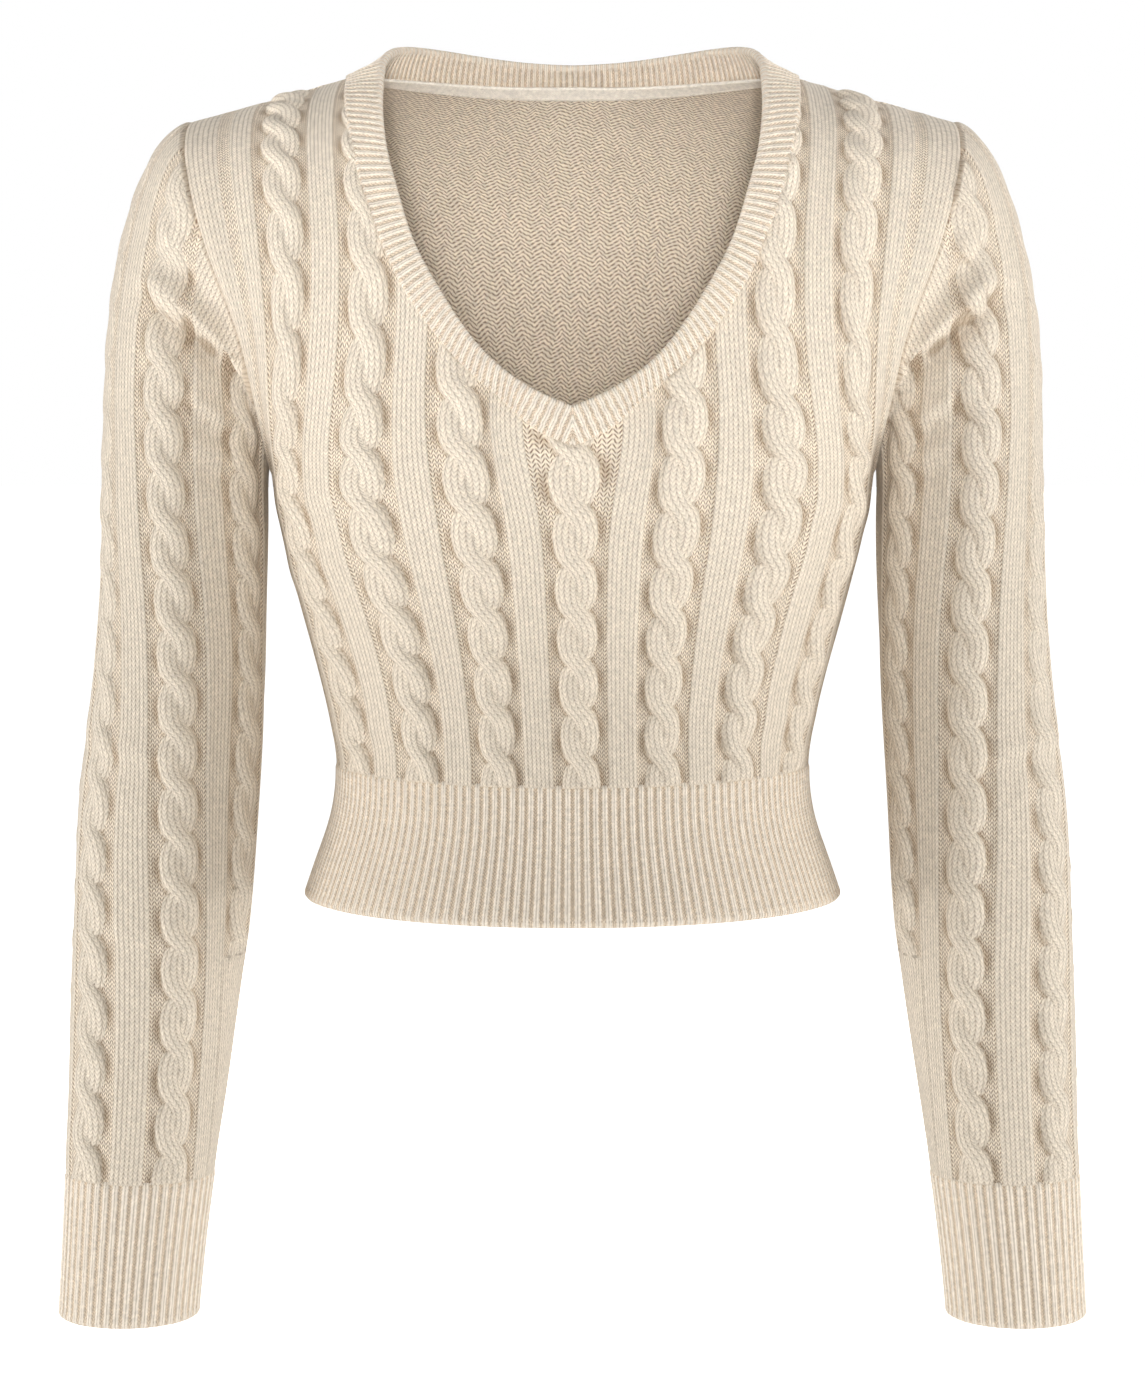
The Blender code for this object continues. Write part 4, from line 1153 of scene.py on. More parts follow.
def sleeveStart(x, tube):
    # the height at which each column leaves the arm, and its place on the armhole
    endZ = np.full(len(x), capEndOuterZ)
    for _ in range(3):
        share = np.array([cableSpread(a, z, tube) / tube.halfRound(z) for a, z in zip(x, endZ)])
        inward = (1 - np.cos(math.pi * share)) / 2
        endZ = capEndOuterZ + (capEndInnerZ - capEndOuterZ) * inward
    onArmhole = np.sign(share) * np.interp(np.abs(share), sleeveShare, armholeShare)
    # evened out over a few columns either side, round the seam as well
    reach = 4
    padded = np.concatenate([onArmhole[-reach:] - 2, onArmhole, onArmhole[:reach] + 2])
    even = np.ones(2 * reach + 1) / (2 * reach + 1)
    onArmhole = np.mod(np.convolve(padded, even, mode="valid") + 1, 2) - 1
    start = np.empty((len(x), 3))
    for half, sections in ((onArmhole >= 0, frontSections), (onArmhole < 0, backSections)):
        run = armholeRun(sections)
        shares, at = arcShares(run), np.abs(onArmhole[half])
        start[half] = np.stack([np.interp(at, shares, run[:, i]) for i in range(3)], axis=1)
    return endZ, start


def sleeveBase(x):
    # the bare surface of a left sleeve: arm rows from the cuff up, then the cap
    knit = sleeveKnit
    tube = SleeveTube()
    endZ, start = sleeveStart(x, tube)
    z = cuffTopZ + (endZ - cuffTopZ) * np.linspace(0, 1, knit["armRows"] + 1)[:, None]
    heights = np.linspace(cuffTopZ, capEndOuterZ, sampling["sleeveHeights"])
    spreads = np.array([cableSpread(x, height, tube) / tube.halfRound(height) for height in heights])
    shares = np.stack([np.interp(z[:, i], heights, spreads[:, i]) for i in range(len(x))], axis=1)
    arm = tube.points(shares / 2, z)
    turn = np.linspace(math.pi / 2, 0, knit["capRows"] + 1)[1:, None, None]
    path = np.concatenate([np.sin(turn), np.sin(turn), 1 - np.cos(turn)], axis=2)
    path = path + (turn / (math.pi / 2) - path) * knit["capEase"]
    return np.concatenate([arm, start + (arm[-1] - start) * path])


def makeSleeve(name, side, folds, seed):
    knit = sleeveKnit
    repeat = cableKnit["repeat"]
    centres = [repeat * (i + 0.5) for i in range(-lastCable, lastCable)]
    x = patternColumns(centres, knit["halfRound"])[:-1]
    base = sleeveBase(x)
    along = arcLengths(base)
    top = along[-1] - along
    patternX = np.broadcast_to(x, along.shape)
    normals = gridNormals(base, -1, ring=True)
    soft = knit["waviness"] * unevenness(patternX, along, seed)
    shade = 0
    blend = knit["foldBlend"]
    for half, sign in (("front", 1), ("back", -1)):
        share = smooth(-blend * sign, blend * sign, patternX)
        folded, dark = foldHeight(base[..., 0], base[..., 2], folds[half])
        soft, shade = soft + share * folded, shade + share * dark
    calm = smooth(0, knit["calmFoot"], along) * smooth(0, knit["calmTop"], top)
    fan = np.where(patternX > 0, fanShare(patternX, base[..., 0], base[..., 2]), 0)
    base = base + normals * (soft * calm)[..., None]
    normals = gridNormals(base, -1, ring=True)

    # mirrored for the wearer's right
    base, normals = base * (side, 1, 1), normals * (side, 1, 1)
    seen = -patternX * side  # left to right as seen from outside
    turns = (along - knit["firstCrossing"]) / knit["turnLength"]
    plain = takenUp(patternX, base[..., 2])
    full = cableFullness(patternX, base[..., 2])
    relief = cableRelief(seen, turns, repeat / 2) * (1 - fan) * full * (1 - plain)
    near = smooth(0, knit["seamWidth"], np.minimum(knit["halfRound"] - np.abs(patternX), top))
    nearRib = smooth(0, knit["ribFade"], along)
    # painted shade in the creases, in the folds' shadows and where the sleeve goes in under the body
    crease = np.clip(creaseShade(relief) + shade, cableKnit["crownLimit"], 1) * near * nearRib
    crease = np.maximum(crease, knit["seamShade"] * smooth(*knit["shadeReach"], top))
    raised = relief * near * nearRib * knit["reliefShare"] - knit["seamDip"] * (1 - near)
    outer = base + normals * raised[..., None]
    tuck = smooth(knit["tuckDepth"], 0, top)[..., None]
    inwards = unit(outer[-1] - outer[-3])
    outer = outer + (inwards * knit["tuck"] - normals * knit["tuckDrop"]) * tuck

    def coarse(grid):
        return coarser(grid, knit["innerStep"], knit["innerStep"], ring=True)

    def both(grid):
        # a value at the points of the outer face, then of the inner
        return np.concatenate([grid.ravel(), coarse(grid).ravel()])

    wall = knit["wall"] + knit["roomInside"] * calm * (1 + 2 * np.clip(shade, 0, 1))
    inner = coarse(base - normals * wall[..., None])
    faces, innerFaces = (gridTriangles(grid, True)[:, ::-side] for grid in (outer, inner))
    lean = math.radians(knit["fanLean"])
    sideways = side * base[..., 0] * math.cos(lean) + base[..., 2] * math.sin(lean)
    upwards = base[..., 2] * math.cos(lean) - side * base[..., 0] * math.sin(lean)
    sideways = np.where(plain > 0.5, patternX, sideways) / knit["fanWale"]
    upwards = np.where(plain > 0.5, along, upwards) / knit["fanCourse"]
    fanFields = [both(grid) for grid in (np.maximum(fan, plain), sideways, upwards)]
    return cableShell(name, outer.reshape(-1, 3), faces, inner.reshape(-1, 3), innerFaces,
                      both(seen), both(turns), crease.ravel(), repeat / 2, fanFields)


# ends in x and z, width, height, lap
sleeveFolds = {
    "front": (
        ((210, -78), (155, -126), 7.5, 0.8, 6.5),
        ((206, -48), (172, -88), 6.0, 0.2, 1.6),
        ((194, -132), (162, -156), 6.5, 0.3, 2.6),
        ((186, -160), (160, -178), 7.0, -0.8, 1.4),
        ((250, -306), (196, -316), 7.0, 0.2, 0.9),
        ((222, -322), (178, -312), 8.0, -0.4, 0.8),
        ((240, -398), (196, -410), 9.0, 0.0, 0.6),
    ),
    "back": (
        ((214, -74), (166, -134), 10.0, 1.0, 2.6),
        ((196, -142), (164, -166), 7.5, 0.2, 1.6),
        ((246, -300), (190, -322), 9.0, 0.3, 1.1),
        ((236, -352), (192, -340), 9.0, -0.4, 0.8),
    ),
}
sleeveLeft = makeSleeve("sleeve_cloth_left", 1, sleeveFolds, 21)
sleeveRight = makeSleeve("sleeve_cloth_right", -1, sleeveFolds, 22)


def newTree(name, sockets):
    # an empty Geometry Nodes tree with its inputs, each a name and a kind, and one output
    tree = bpy.data.node_groups.new(name, "GeometryNodeTree")
    for given, kind in sockets:
        tree.interface.new_socket(given, in_out="INPUT", socket_type="NodeSocket" + kind)
    tree.interface.new_socket("Geometry", in_out="OUTPUT", socket_type="NodeSocketGeometry")
    return tree, addNode(tree, "NodeGroupInput").outputs


def ribTree(name):
    # Pushes a strip of knit out along its ribs. "rib" counts ribs, "firm" is 1 where they
    # stand full and "bound" is 1 on the bound-off edge, where the gutters end.
    tree, given = newTree(name, (
        ("Geometry", "Geometry"), ("Depth", "Float"), ("Fullness", "Float"), ("Finish", "Material")))
    rib, firm, bound = (addNode(tree, "GeometryNodeInputNamedAttribute", {"Name": field})
                        for field in ("rib", "firm", "bound"))
    angle = addNode(tree, "ShaderNodeMath", {0: rib, 1: math.pi}, operation="MULTIPLY")
    wave = addNode(tree, "ShaderNodeMath", {0: angle}, operation="SINE")
    size = addNode(tree, "ShaderNodeMath", {0: wave}, operation="ABSOLUTE")
    crown = addNode(tree, "ShaderNodeMath", {0: size, 1: given["Fullness"]}, operation="POWER")
    full = addNode(tree, "ShaderNodeMath", {0: crown, 1: bound}, operation="MAXIMUM")
    held = addNode(tree, "ShaderNodeMath", {0: full, 1: firm}, operation="MULTIPLY")
    depth = addNode(tree, "ShaderNodeMath", {0: held, 1: given["Depth"]}, operation="MULTIPLY")
    normal = addNode(tree, "GeometryNodeInputNormal")
    push = addNode(tree, "ShaderNodeVectorMath", {0: normal, "Scale": depth}, operation="SCALE")
    pushed = addNode(tree, "GeometryNodeSetPosition", {"Geometry": given["Geometry"], "Offset": push})
    plain = addNode(tree, "GeometryNodeRealizeInstances", {"Geometry": pushed})
    dressed = addNode(tree, "GeometryNodeSetMaterial", {"Geometry": plain, "Material": given["Finish"]})
    addNode(tree, "NodeGroupOutput", {0: dressed})
    return tree


ribs = ribTree("knitted ribs")


def throughTree(made, tree, values):
    # runs a piece through a node tree and leaves a plain mesh of the same name
    modifier = made.modifiers.new(tree.name, "NODES")
    modifier.node_group = tree
    sockets = [item for item in tree.interface.items_tree if item.in_out == "INPUT"]
    identifiers = {item.name: item.identifier for item in sockets}
    for name, value in values.items():
        modifier[identifiers[name]] = value
    bpy.context.view_layer.update()
    graph = bpy.context.evaluated_depsgraph_get()
    mesh = bpy.data.meshes.new_from_object(made.evaluated_get(graph), depsgraph=graph)
    old = made.data
    made.modifiers.clear()
    made.data = mesh
    bpy.data.meshes.remove(old)
    mesh.name = made.name
    return made


# what the hem, the cuffs and the neckband share: two-wale ribs with purl gutters between
ribKnit = {
    "innerRows": 8,
    "turnRows": 4,  # round the free edge
    "depth": 1.1,
    "fullness": 1.1,  # below 1, ribs are fuller and gutters narrower
    "ribWidth": 0.64,  # the share of a rib and its gutter that the two wales take
    "purlFrom": 0.30,  # purl starts this share away from the rib's middle
    "ribEdge": 0.66,  # where a rib gives way to the gutter, 0 in the gutter and 1 on the rib
    "innerRibEdge": 0.66,
    "gutterSoft": 0.3,  # how softly the painted shade in the gutter comes in
    "outerShade": 0.25,  # how dark the painted shade is outside, beside the inside
    "wall": 2.3,
    "sink": 0.5,  # how far the gutters lie under the solid's surface
    "edgeHeight": 3.2,  # of the bound-off edge, where the gutters have ended
    "edgeStart": 0.45,  # the share of that height over which they are gone altogether
    "innerEdge": 1.7,  # how many times lower the edge is inside
    "innerFirm": 0.6,  # how full the ribs stand inside
    "course": 1.6,
    "overlap": 1.2,  # the ribs start a little over the knit above
    "startFade": (-0.6, 1.2),  # and come to their height over this stretch
}


def foldedStrip(outer, normals, wall, turnRows, innerRows):
    # cross-sections that go down the outer face, round the free edge and back up inside
    edge, normal = outer[-1], normals[-1]
    ahead = unit(outer[-1] - outer[-2])
    middle = edge - normal * wall / 2
    angles = np.linspace(0, math.pi, turnRows + 2)[1:-1]
    turn = [middle + (normal * math.cos(a) + ahead * math.sin(a)) * wall / 2 for a in angles]
    inner = (outer - normals * wall)[::-1]
    return np.concatenate([outer, np.array(turn), coarser(inner, max(1, len(inner) // innerRows))])


def stripFaces(rows, ring):
    # the faces of a closed cross-section carried along; open ends are capped
    count, columns = rows.shape[:2]
    closed = np.concatenate([rows, rows[:1]])
    faces = gridTriangles(closed, ring) % (count * columns)
    if ring:
        return faces
    caps = []
    for column, turn in ((0, 1), (columns - 1, -1)):
        run = [i * columns + column for i in range(count)]
        while len(run) > 2:
            caps.append((run[0], run[1], run[-1])[::turn])
            run = run[1:]
            if len(run) > 2:
                caps.append((run[0], run[-2], run[-1])[::turn])
                run = run[:-1]
    return np.concatenate([faces, np.array(caps)])


def ribCorners(rib, courses, triangles, look):
    # two knit wales on each rib, purl in the gutter between
    corner = rib[triangles]
    number = np.floor(corner.mean(axis=1))[:, None]
    share = corner - number
    wales = 2 * number + (share - (1 - look["ribWidth"]) / 2) / look["ribWidth"] * 2
    purl = (np.abs(share.mean(axis=1) - 0.5) > look["purlFrom"]).astype(float)
    return np.stack([wales, courses[triangles]], axis=2), np.repeat(purl, 3).reshape(-1, 3)


def makeRibbing(name, outer, normals, ring, rib, courses, look):
    # outer[row, column] runs from the seam to the free edge
    turnRows = look["turnRows"]
    rows = foldedStrip(outer, normals, look["wall"], turnRows, look["innerRows"])
    innerRows = len(rows) - len(outer) - turnRows
    inside = (np.arange(len(rows)) >= len(outer) + turnRows)[:, None]
    pick = np.linspace(len(outer) - 1, 0, innerRows).round().astype(int)

    def carried(values):
        # values of the outer face, carried round the edge and up the inside
        values = np.broadcast_to(values, outer.shape[:2])
        return np.concatenate([values, np.repeat(values[-1:], turnRows, axis=0), values[pick]])

    lengths = arcLengths(outer)
    total = lengths[-1]
    onTurn = np.zeros((turnRows, outer.shape[1]))
    up = np.linspace(0, 1, innerRows)[:, None] * total
    fromEdge = np.concatenate([total - lengths, onTurn, up])
    height = look["edgeHeight"] / np.where(inside, look["innerEdge"], 1.0)
    bound = 1 - smooth(height * look["edgeStart"], height, fromEdge)
    firm = np.where(inside, look["innerFirm"], 1.0) * smooth(*look["startFade"], total - fromEdge)
    rib, courses = carried(rib), carried(courses)
    faces = stripFaces(rows, ring)
    points = rows.reshape(-1, 3)
    a, b, c = (points[faces[:, i]] for i in range(3))
    if np.einsum("ij,ij->i", a, np.cross(b, c)).sum() < 0:  # inside out
        faces = faces[:, ::-1]
    corners, purl = ribCorners(rib.ravel(), courses.ravel(), faces, look)
    edge = np.where(inside, look["innerRibEdge"], look["ribEdge"])
    # painted shade in the gutters between ribs, full inside and fainter outside
    hollowShade = smooth(0, -look["gutterSoft"], np.abs(np.sin(math.pi * rib)) - edge) * (1 - bound)
    hollowShade = hollowShade * np.where(inside, 1.0, look["outerShade"])
    made = meshObject(name, points, faces, corners, purl, rib=rib.ravel(), firm=firm.ravel(),
                      bound=bound.ravel(), crease=hollowShade.ravel())
    throughTree(made, ribs, {"Depth": look["depth"] * mm, "Fullness": look["fullness"], "Finish": ribWool})
    print(name, len(faces), "triangles")
    return made


hemRib = {**ribKnit, "ribs": 76, "columnsPerRib": 7, "rows": 24}


def makeHem(name, sections, facing):
    look = hemRib
    marks = readSections(sections)[1]
    levels = np.linspace(marks[ribTopRow] + look["overlap"] / panelKnit["lengthUp"], 0, look["rows"])
    shares = np.linspace(-1, 1, look["ribs"] * look["columnsPerRib"] + 1)
    base = bodyGrid(sections, levels, shares=shares)
    normals = -gridNormals(base, facing)
    rib = (shares + 1) / 2 * look["ribs"]
    base = base - normals * look["sink"]
    courses = arcLengths(base) / look["course"]
    return makeRibbing(name, base, normals, False, rib, courses, look)


hemFront = makeHem("hem_rib_front", frontSections, 1)
hemBack = makeHem("hem_rib_back", backSections, -1)


cuffRib = {**ribKnit, "ribs": 45, "columnsPerRib": 8, "rows": 26}


def makeCuff(name, side):
    look = cuffRib
    tube = SleeveTube()
    z = np.linspace(cuffTopZ + look["overlap"], cuffEndZ, look["rows"])[:, None]
    count = look["ribs"] * look["columnsPerRib"]
    shares = np.arange(count) / count
    z, shares = np.broadcast_arrays(z, shares[None, :])
    base = tube.points(shares, z)
    normals = gridNormals(base, 1, ring=True)
    base, normals = base * (side, 1, 1), normals * (side, 1, 1)
    base = base - normals * look["sink"]
    rib = np.arange(count) / look["columnsPerRib"]
    courses = arcLengths(base) / look["course"]
    return makeRibbing(name, base, normals, True, rib, courses, look)


cuffLeft = makeCuff("cuff_rib_left", 1)
cuffRight = makeCuff("cuff_rib_right", -1)


# the neckband
neckRib = {
    **ribKnit,
    "pitch": 3.9,  # mm from rib to rib along the free edge in front
    "backPitch": 3.0,
    "backLength": 112.0,  # half the stretch at the back that has the closer ribs
    "columnStep": 0.5,
    "rows": 12,
    "seamRows": 5,  # extra rows near the seam
    "seamShare": 0.14,  # the share of the width that they take
    "innerRows": 12,
    "depth": 1.15,
    "fullness": 0.6,
    "ribEdge": 0.5,
    "innerRibEdge": 0.92,
    "edgeHeight": 2.2,
    "innerFirm": 1.0,
    "course": 2.0,
    "bulge": 0.8,  # how far the band's middle stands out
    "seamSink": 0.7,  # the seam lies deeper, over this share of the width
    "sinkShare": 0.12,
    "chain": 0.8,  # the ridge of linking stitches beside the seam
    "chainPlace": 0.075,
    "chainWidth": 0.035,
    "edgeRoom": 1.8,  # room for the rolled edge and the ribs
    "leadColumns": 40,  # how far the free edge's line is carried on past the V, for the mitre
    "mitreReach": (22.0, 40.0),  # from here on, a rib stands square to the free edge
}


def ribsAlong(distance, total):
    # how many ribs lie between the point of the V and a place on half the free edge
    look = neckRib
    turn = total - look["backLength"]
    front = np.minimum(distance, turn) / look["pitch"]
    return front + np.clip(distance - turn, 0, None) / look["backPitch"]


def bandCurves(step):
    # the seam and the free edge of half the band, from the point of the V to the back, with
    # points a step apart along the free edge
    seamFront = neckSeam(frontSections, frontCut)
    seamBack = neckSeam(backSections, backCut)[::-1]
    seams, edges = [], []
    for seam, free in ((seamFront, bandFront), (seamBack, bandBack)):
        free = np.array(free)
        seams.append(seam)
        edges.append(naturalSpline(arcShares(free), free, arcShares(seam)))
    seam, free = (np.concatenate([runs[0], runs[1][1:]]) for runs in (seams, edges))
    along = arcLengths(free)
    total = along[-1]
    wanted = np.linspace(0, total, int(total / step))
    seam, free = (np.stack([np.interp(wanted, along, run[:, i]) for i in range(3)], axis=1)
                  for run in (seam, free))
    return seam, free, total


def makeNeckband(name):
    look = neckRib
    seam, free, total = bandCurves(look["columnStep"])
    free = free - unit(free - seam) * look["edgeRoom"]
    # a rib's number is its place along the free edge, so ribs meet in a mitre at the V
    before = np.arange(look["leadColumns"], 0, -1) * look["columnStep"]
    own = np.linspace(0, total, len(free))
    line = np.concatenate([free[0] - unit(free[1] - free[0]) * before[:, None], free])
    lineAt = np.concatenate([-before, own])
    seamRows = np.linspace(0, look["seamShare"], look["seamRows"])
    rise = np.concatenate([seamRows, np.linspace(look["seamShare"], 1, look["rows"])[1:]])[:, None, None]
    seam = seam + unit(seam - free) * look["overlap"]
    half = seam + (free - seam) * rise
    nearest = np.empty(half.shape[:2])
    for i, row in enumerate(half):
        away = np.linalg.norm(row[:, None] - line[None], axis=2)
        nearest[i] = lineAt[away.argmin(axis=1)]
    nearest = nearest + (own - nearest) * smooth(*look["mitreReach"], own)
    ribHalf = ribsAlong(nearest, total)
    # a whole number of ribs round the back
    ribHalf = ribHalf * np.round(ribsAlong(total, total)) / ribsAlong(total, total)
    ring = np.concatenate([half, half[:, -2:0:-1] * (-1, 1, 1)], axis=1)
    rib = np.concatenate([ribHalf, ribHalf[:, -2:0:-1]], axis=1)
    normals = gridNormals(ring, 1, ring=True)
    sunk = look["seamSink"] * smooth(look["sinkShare"], 0, rise)
    out = (1 - (2 * rise - 1) ** 2) * look["bulge"] - sunk
    ring = ring + normals * (out + look["chain"] * bump(rise, look["chainPlace"], look["chainWidth"]))
    return makeRibbing(name, ring, normals, True, rib, arcLengths(ring) / look["course"], look)


neckband = makeNeckband("neck_rib_band")


# the tape sewn inside the back neck seam
neckTape = {
    "width": 8.0,
    "rise": 9.0,  # how far its upper edge stands above the seam
    "lean": 0.05,  # what stands above the seam leans forward against the band
    "gap": 1.0,  # from the inside of the back
    "wall": 1.0,
    "seamPoints": 80,
    "rows": 8,
    "turnRows": 2,
    "innerRows": 5,
    "wale": 1.5,
    "coursesPerRow": 0.8,
    "stitchInset": 0.9,  # from the tape's edges to its two lines of stitches
    "stitchSpacing": 2.4,
    "stitchLength": 1.7,
    "thread": 0.46,  # half a stitch's thickness
}


def stitchTree(name):
    # sewn stitches laid along a path, joined to the cloth that they hold
    tree, given = newTree(name, (
        ("Geometry", "Geometry"), ("Cloth", "Object"), ("Spacing", "Float"), ("Length", "Float"),
        ("Thread", "Float"), ("Finish", "Material")))
    path = addNode(tree, "GeometryNodeMeshToCurve", {0: given["Geometry"]})
    places = addNode(tree, "GeometryNodeCurveToPoints", {"Curve": path, "Length": given["Spacing"]},
                     mode="LENGTH")
    heading = addNode(tree, "FunctionNodeAlignRotationToVector", {"Vector": places.outputs["Tangent"]},
                      axis="Z")
    halved = addNode(tree, "ShaderNodeMath", {0: given["Length"], 1: 0.5}, operation="MULTIPLY")
    size = addNode(tree, "ShaderNodeCombineXYZ", {0: given["Thread"], 1: given["Thread"], 2: halved})
    bead = addNode(tree, "GeometryNodeMeshUVSphere", {"Segments": 6, "Rings": 4, "Radius": 1.0})
    laid = addNode(tree, "GeometryNodeInstanceOnPoints", {
        "Points": places, "Instance": bead, "Rotation": heading, "Scale": size})
    plain = addNode(tree, "GeometryNodeRealizeInstances", {"Geometry": laid})
    rounded = addNode(tree, "GeometryNodeSetShadeSmooth", {"Geometry": plain})
    dressed = addNode(tree, "GeometryNodeSetMaterial", {"Geometry": rounded, "Material": given["Finish"]})
    cloth = addNode(tree, "GeometryNodeObjectInfo", {"Object": given["Cloth"]})
    joined = addNode(tree, "GeometryNodeJoinGeometry")
    tree.links.new(cloth.outputs["Geometry"], joined.inputs[0])
    tree.links.new(dressed.outputs[0], joined.inputs[0])
    addNode(tree, "NodeGroupOutput", {0: joined})
    return tree


def outwardBeside(seam):
    # the way the back faces beside each point of its neck seam
    marks = readSections(backSections)[1]
    levels = np.linspace(marks[underarmRow], 1, sampling["backLevels"])
    fine = bodyGrid(backSections, levels, columns=np.linspace(-1, 1, sampling["backColumns"]))
    facing = gridNormals(fine, -1).reshape(-1, 3)
    tree = KDTree(len(facing))
    for i, place in enumerate(fine.reshape(-1, 3)):
        tree.insert(place, i)
    tree.balance()
    normals = np.array([facing[tree.find(place)[1]] for place in seam])
    along = unit(np.gradient(seam, axis=0))
    return along, unit(normals - along * (normals * along).sum(axis=1, keepdims=True))


def makeTape(name):
    look = neckTape
    half = neckSeam(backSections, backCut, look["seamPoints"])
    seam = np.concatenate([half[:0:-1] * (-1, 1, 1), half])
    along, normals = outwardBeside(seam)
    down = unit(np.cross(normals, along))
    down = down * np.sign(-down[:, 2:3])
    start = seam - normals * (panelKnit["wall"] + look["gap"])

    def laid(step):
        # the tape's line at a distance below the seam
        forward = np.array([0.0, -1.0, 0.0]) * np.clip(-step, 0, None)
        return start + down * step + forward * look["lean"]

    low = look["width"] - look["rise"]
    strip = laid(np.linspace(-look["rise"], low, look["rows"])[:, None, None])
    rows = foldedStrip(strip, np.broadcast_to(normals, strip.shape), look["wall"],
                       look["turnRows"], look["innerRows"])
    faces = stripFaces(rows, False)
    wales = np.broadcast_to(arcLengths(seam) / look["wale"], rows.shape[:2]).ravel()
    courses = np.broadcast_to(np.arange(len(rows))[:, None] * look["coursesPerRow"], rows.shape[:2]).ravel()
    corners = np.stack([wales[faces], courses[faces]], axis=2)
    cloth = meshObject(name + "_plain", rows.reshape(-1, 3), faces, corners, np.zeros(faces.shape))
    cloth.data.materials.append(tapeCotton)
    # a line of stitches along either edge, short of the tape's ends
    inset = look["stitchInset"]
    runs = [(laid(step) - normals * look["wall"])[2:-2] for step in (inset - look["rise"], low - inset)]
    mesh = bpy.data.meshes.new(name)
    count = len(runs[0])
    edges = [(i + j * count, i + 1 + j * count) for j in (0, 1) for i in range(count - 1)]
    mesh.from_pydata((np.concatenate(runs) * mm).tolist(), edges, [])
    made = bpy.data.objects.new(name, mesh)
    bpy.context.scene.collection.objects.link(made)
    throughTree(made, stitchTree("sewn stitches"), {
        "Cloth": cloth, "Spacing": look["stitchSpacing"] * mm, "Length": look["stitchLength"] * mm,
        "Thread": look["thread"] * mm, "Finish": sewingThread})
    bpy.data.objects.remove(cloth)
    print(name, len(made.data.polygons), "faces")
    return made


tape = makeTape("neck_tape_cloth")


# what each piece rides on, the solid it stands for, its slot and its flat cut in metres
pieces = (
    (front, "front", "cable_knit", (0.376, 0.42), 0.104),
    (back, "back", "cable_knit", (0.376, 0.42), 0.130),
    (sleeveLeft, "sleeve_left", "cable_knit", (0.30, 0.56), 0.1208),
    (sleeveRight, "sleeve_right", "cable_knit", (0.30, 0.56), 0.1208),
    (hemFront, "hem_front", "rib_knit", (0.36, 0.065), 0.0226),
    (hemBack, "hem_back", "rib_knit", (0.36, 0.065), 0.0218),
    (cuffLeft, "cuff_left", "rib_knit", (0.22, 0.07), 0.0143),
    (cuffRight, "cuff_right", "rib_knit", (0.22, 0.07), 0.0143),
    (neckband, "neckband", "rib_knit", (0.70, 0.0185), 0.0126),
    (tape, "neck_tape", "neck_tape", (0.24, 0.01), 0.0019),
)
for piece, node, slot, flat, area in pieces:
    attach(piece, "root")
    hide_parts(node)
print(len(pieces), "pieces in place")

# the floor, the lights and the camera, in metres
studio = {
    "floorZ": -0.95,
    "floorSize": 14.0,
    "floorGlow": (0.1, 0.95),  # the glow that other things get from it, and what the camera sees
    "airGlow": (0.33, 1.0),  # the same for the air
    "cameraPlace": (0.0, -1.989, -0.0717),
    "cameraAim": (0.0, 0.0, -0.28075),
    "lens": 104.88,
    # place, size and watts of the soft lights, which are aimed where the camera is
    "lights": {
        "left": ((-2.5, -0.65, -0.35), 0.9, 30),
        "right": ((2.5, -0.65, -0.35), 0.9, 30),
        "front": ((0.0, -2.6, -0.4), 0.8, 11),
        "top": ((0.1, -1.7, 2.0), 0.8, 6),
        "back": ((0.4, 2.4, 1.3), 1.8, 52),
    },
    # a soft pool of light on the shoulders and through the neck
    "poolPlace": (0.0, -2.1, 0.12),
    "poolHeading": (0.0, 2.2, -0.06),
    "poolAngle": 9.5,
    "poolSize": 0.25,
    "poolWatts": 380,
}


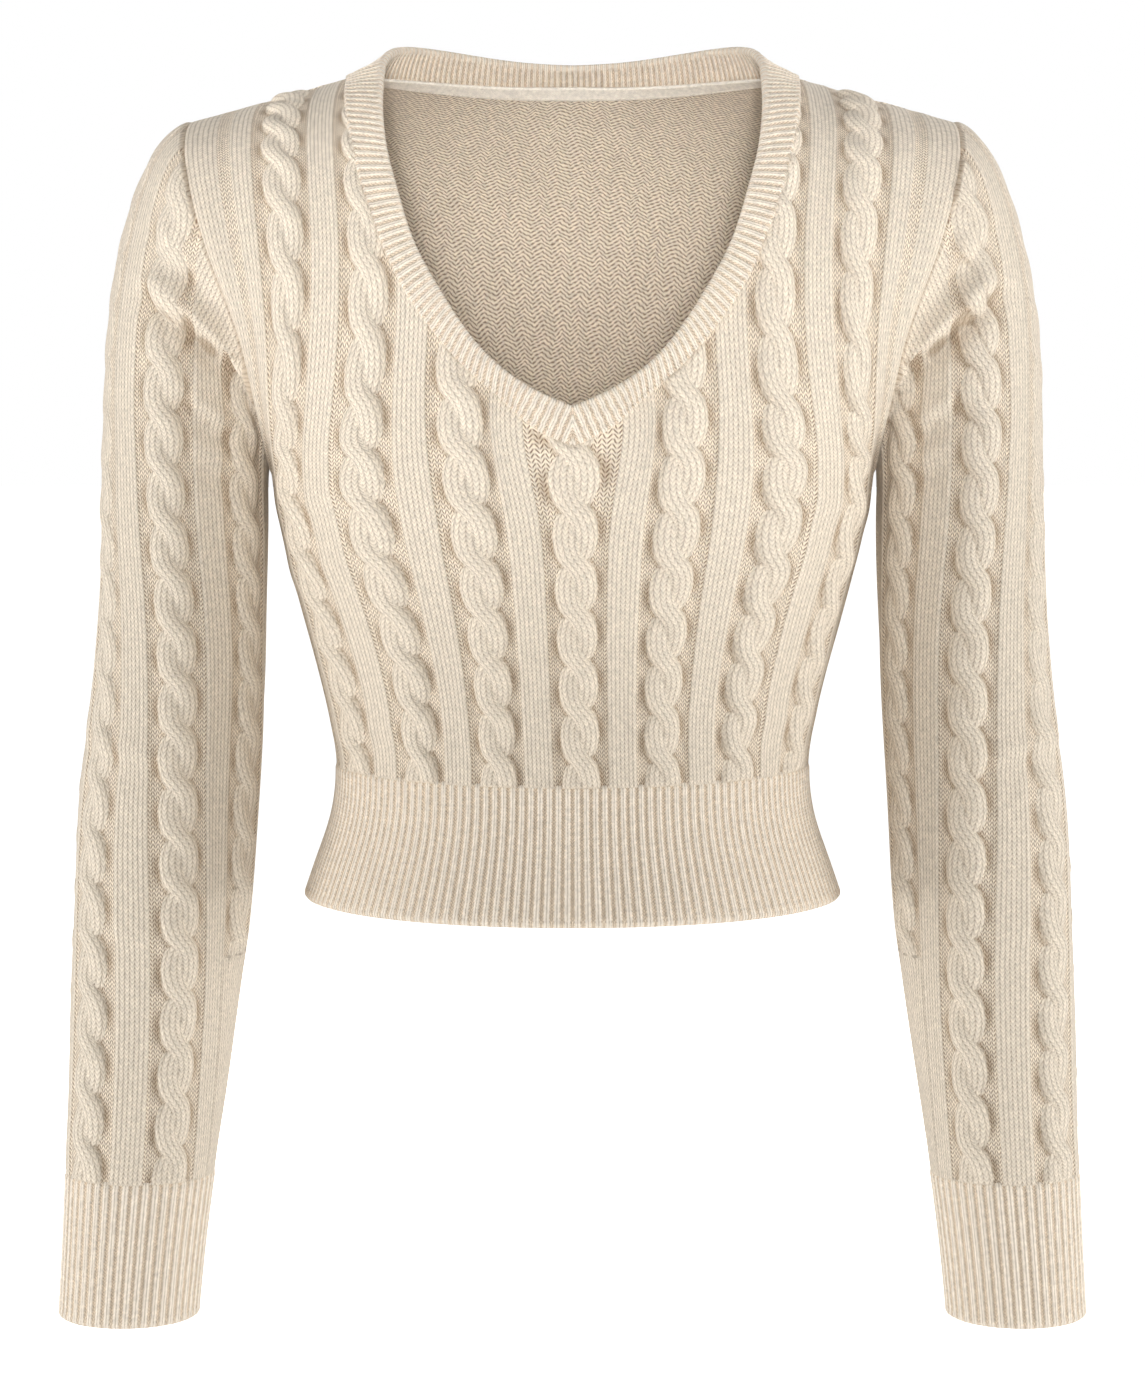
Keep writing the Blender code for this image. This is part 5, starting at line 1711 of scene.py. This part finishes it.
def paintMaterial(name, code):
    # matt floor paint, with a glow of its own so that the floor looks as bright as the air
    material = bpy.data.materials.new(name)
    material.use_nodes = True
    tree = material.node_tree
    shader = tree.nodes["Principled BSDF"]
    shader.inputs["Base Color"].default_value = linearColour(code)
    shader.inputs["Roughness"].default_value = 0.9
    shader.inputs["Emission Color"].default_value = linearColour(code)
    tree.links.new(cameraShare(tree, *studio["floorGlow"]), shader.inputs["Emission Strength"])
    return material


def cameraShare(tree, others, camera):
    # one strength for what the camera sees itself and one for everything else
    seenBy = addNode(tree, "ShaderNodeLightPath").outputs["Is Camera Ray"]
    return addNode(tree, "ShaderNodeMapRange", {0: seenBy, 3: others, 4: camera}).outputs[0]


def placed(name, data, place, heading):
    made = bpy.data.objects.new(name, data)
    made.location = place
    made.rotation_euler = Vector(heading).to_track_quat("-Z", "Y").to_euler()
    bpy.context.scene.collection.objects.link(made)
    return made


floorMesh = bpy.data.meshes.new("studio floor")
size, level = studio["floorSize"], studio["floorZ"]
floorCorners = [(x * size, y * size, level) for x, y in ((-1, -1), (1, -1), (1, 1), (-1, 1))]
floorMesh.from_pydata(floorCorners, [], [(0, 1, 2, 3)])
floor = bpy.data.objects.new("studio_floor", floorMesh)
bpy.context.scene.collection.objects.link(floor)
floorMesh.materials.append(paintMaterial("pale floor paint", "#F7F6F4"))

aim = Vector(studio["cameraAim"])
for name, (place, size, watts) in studio["lights"].items():
    light = bpy.data.lights.new(name, "AREA")
    light.size = size
    light.energy = watts
    placed(name, light, place, aim - Vector(place))
pool = bpy.data.lights.new("pool", "SPOT")
pool.energy = studio["poolWatts"]
pool.spot_size = math.radians(studio["poolAngle"])
pool.spot_blend = 1.0
pool.shadow_soft_size = studio["poolSize"]
placed("pool", pool, studio["poolPlace"], studio["poolHeading"])

world = bpy.data.worlds.new("studio air")
bpy.context.scene.world = world
world.use_nodes = True
sky = world.node_tree
sky.nodes.clear()
air = addNode(sky, "ShaderNodeBackground", {
    "Color": linearColour("#FFFFFF"), "Strength": cameraShare(sky, *studio["airGlow"])})
addNode(sky, "ShaderNodeOutputWorld", {"Surface": air})

cameraData = bpy.data.cameras.new("camera")
cameraData.lens = studio["lens"]
cameraData.sensor_width = 36.0
cameraPlace = studio["cameraPlace"]
bpy.context.scene.camera = placed("camera", cameraData, cameraPlace, aim - Vector(cameraPlace))
bpy.context.scene.view_settings.view_transform = "Standard"
print("floor, lights and camera placed")
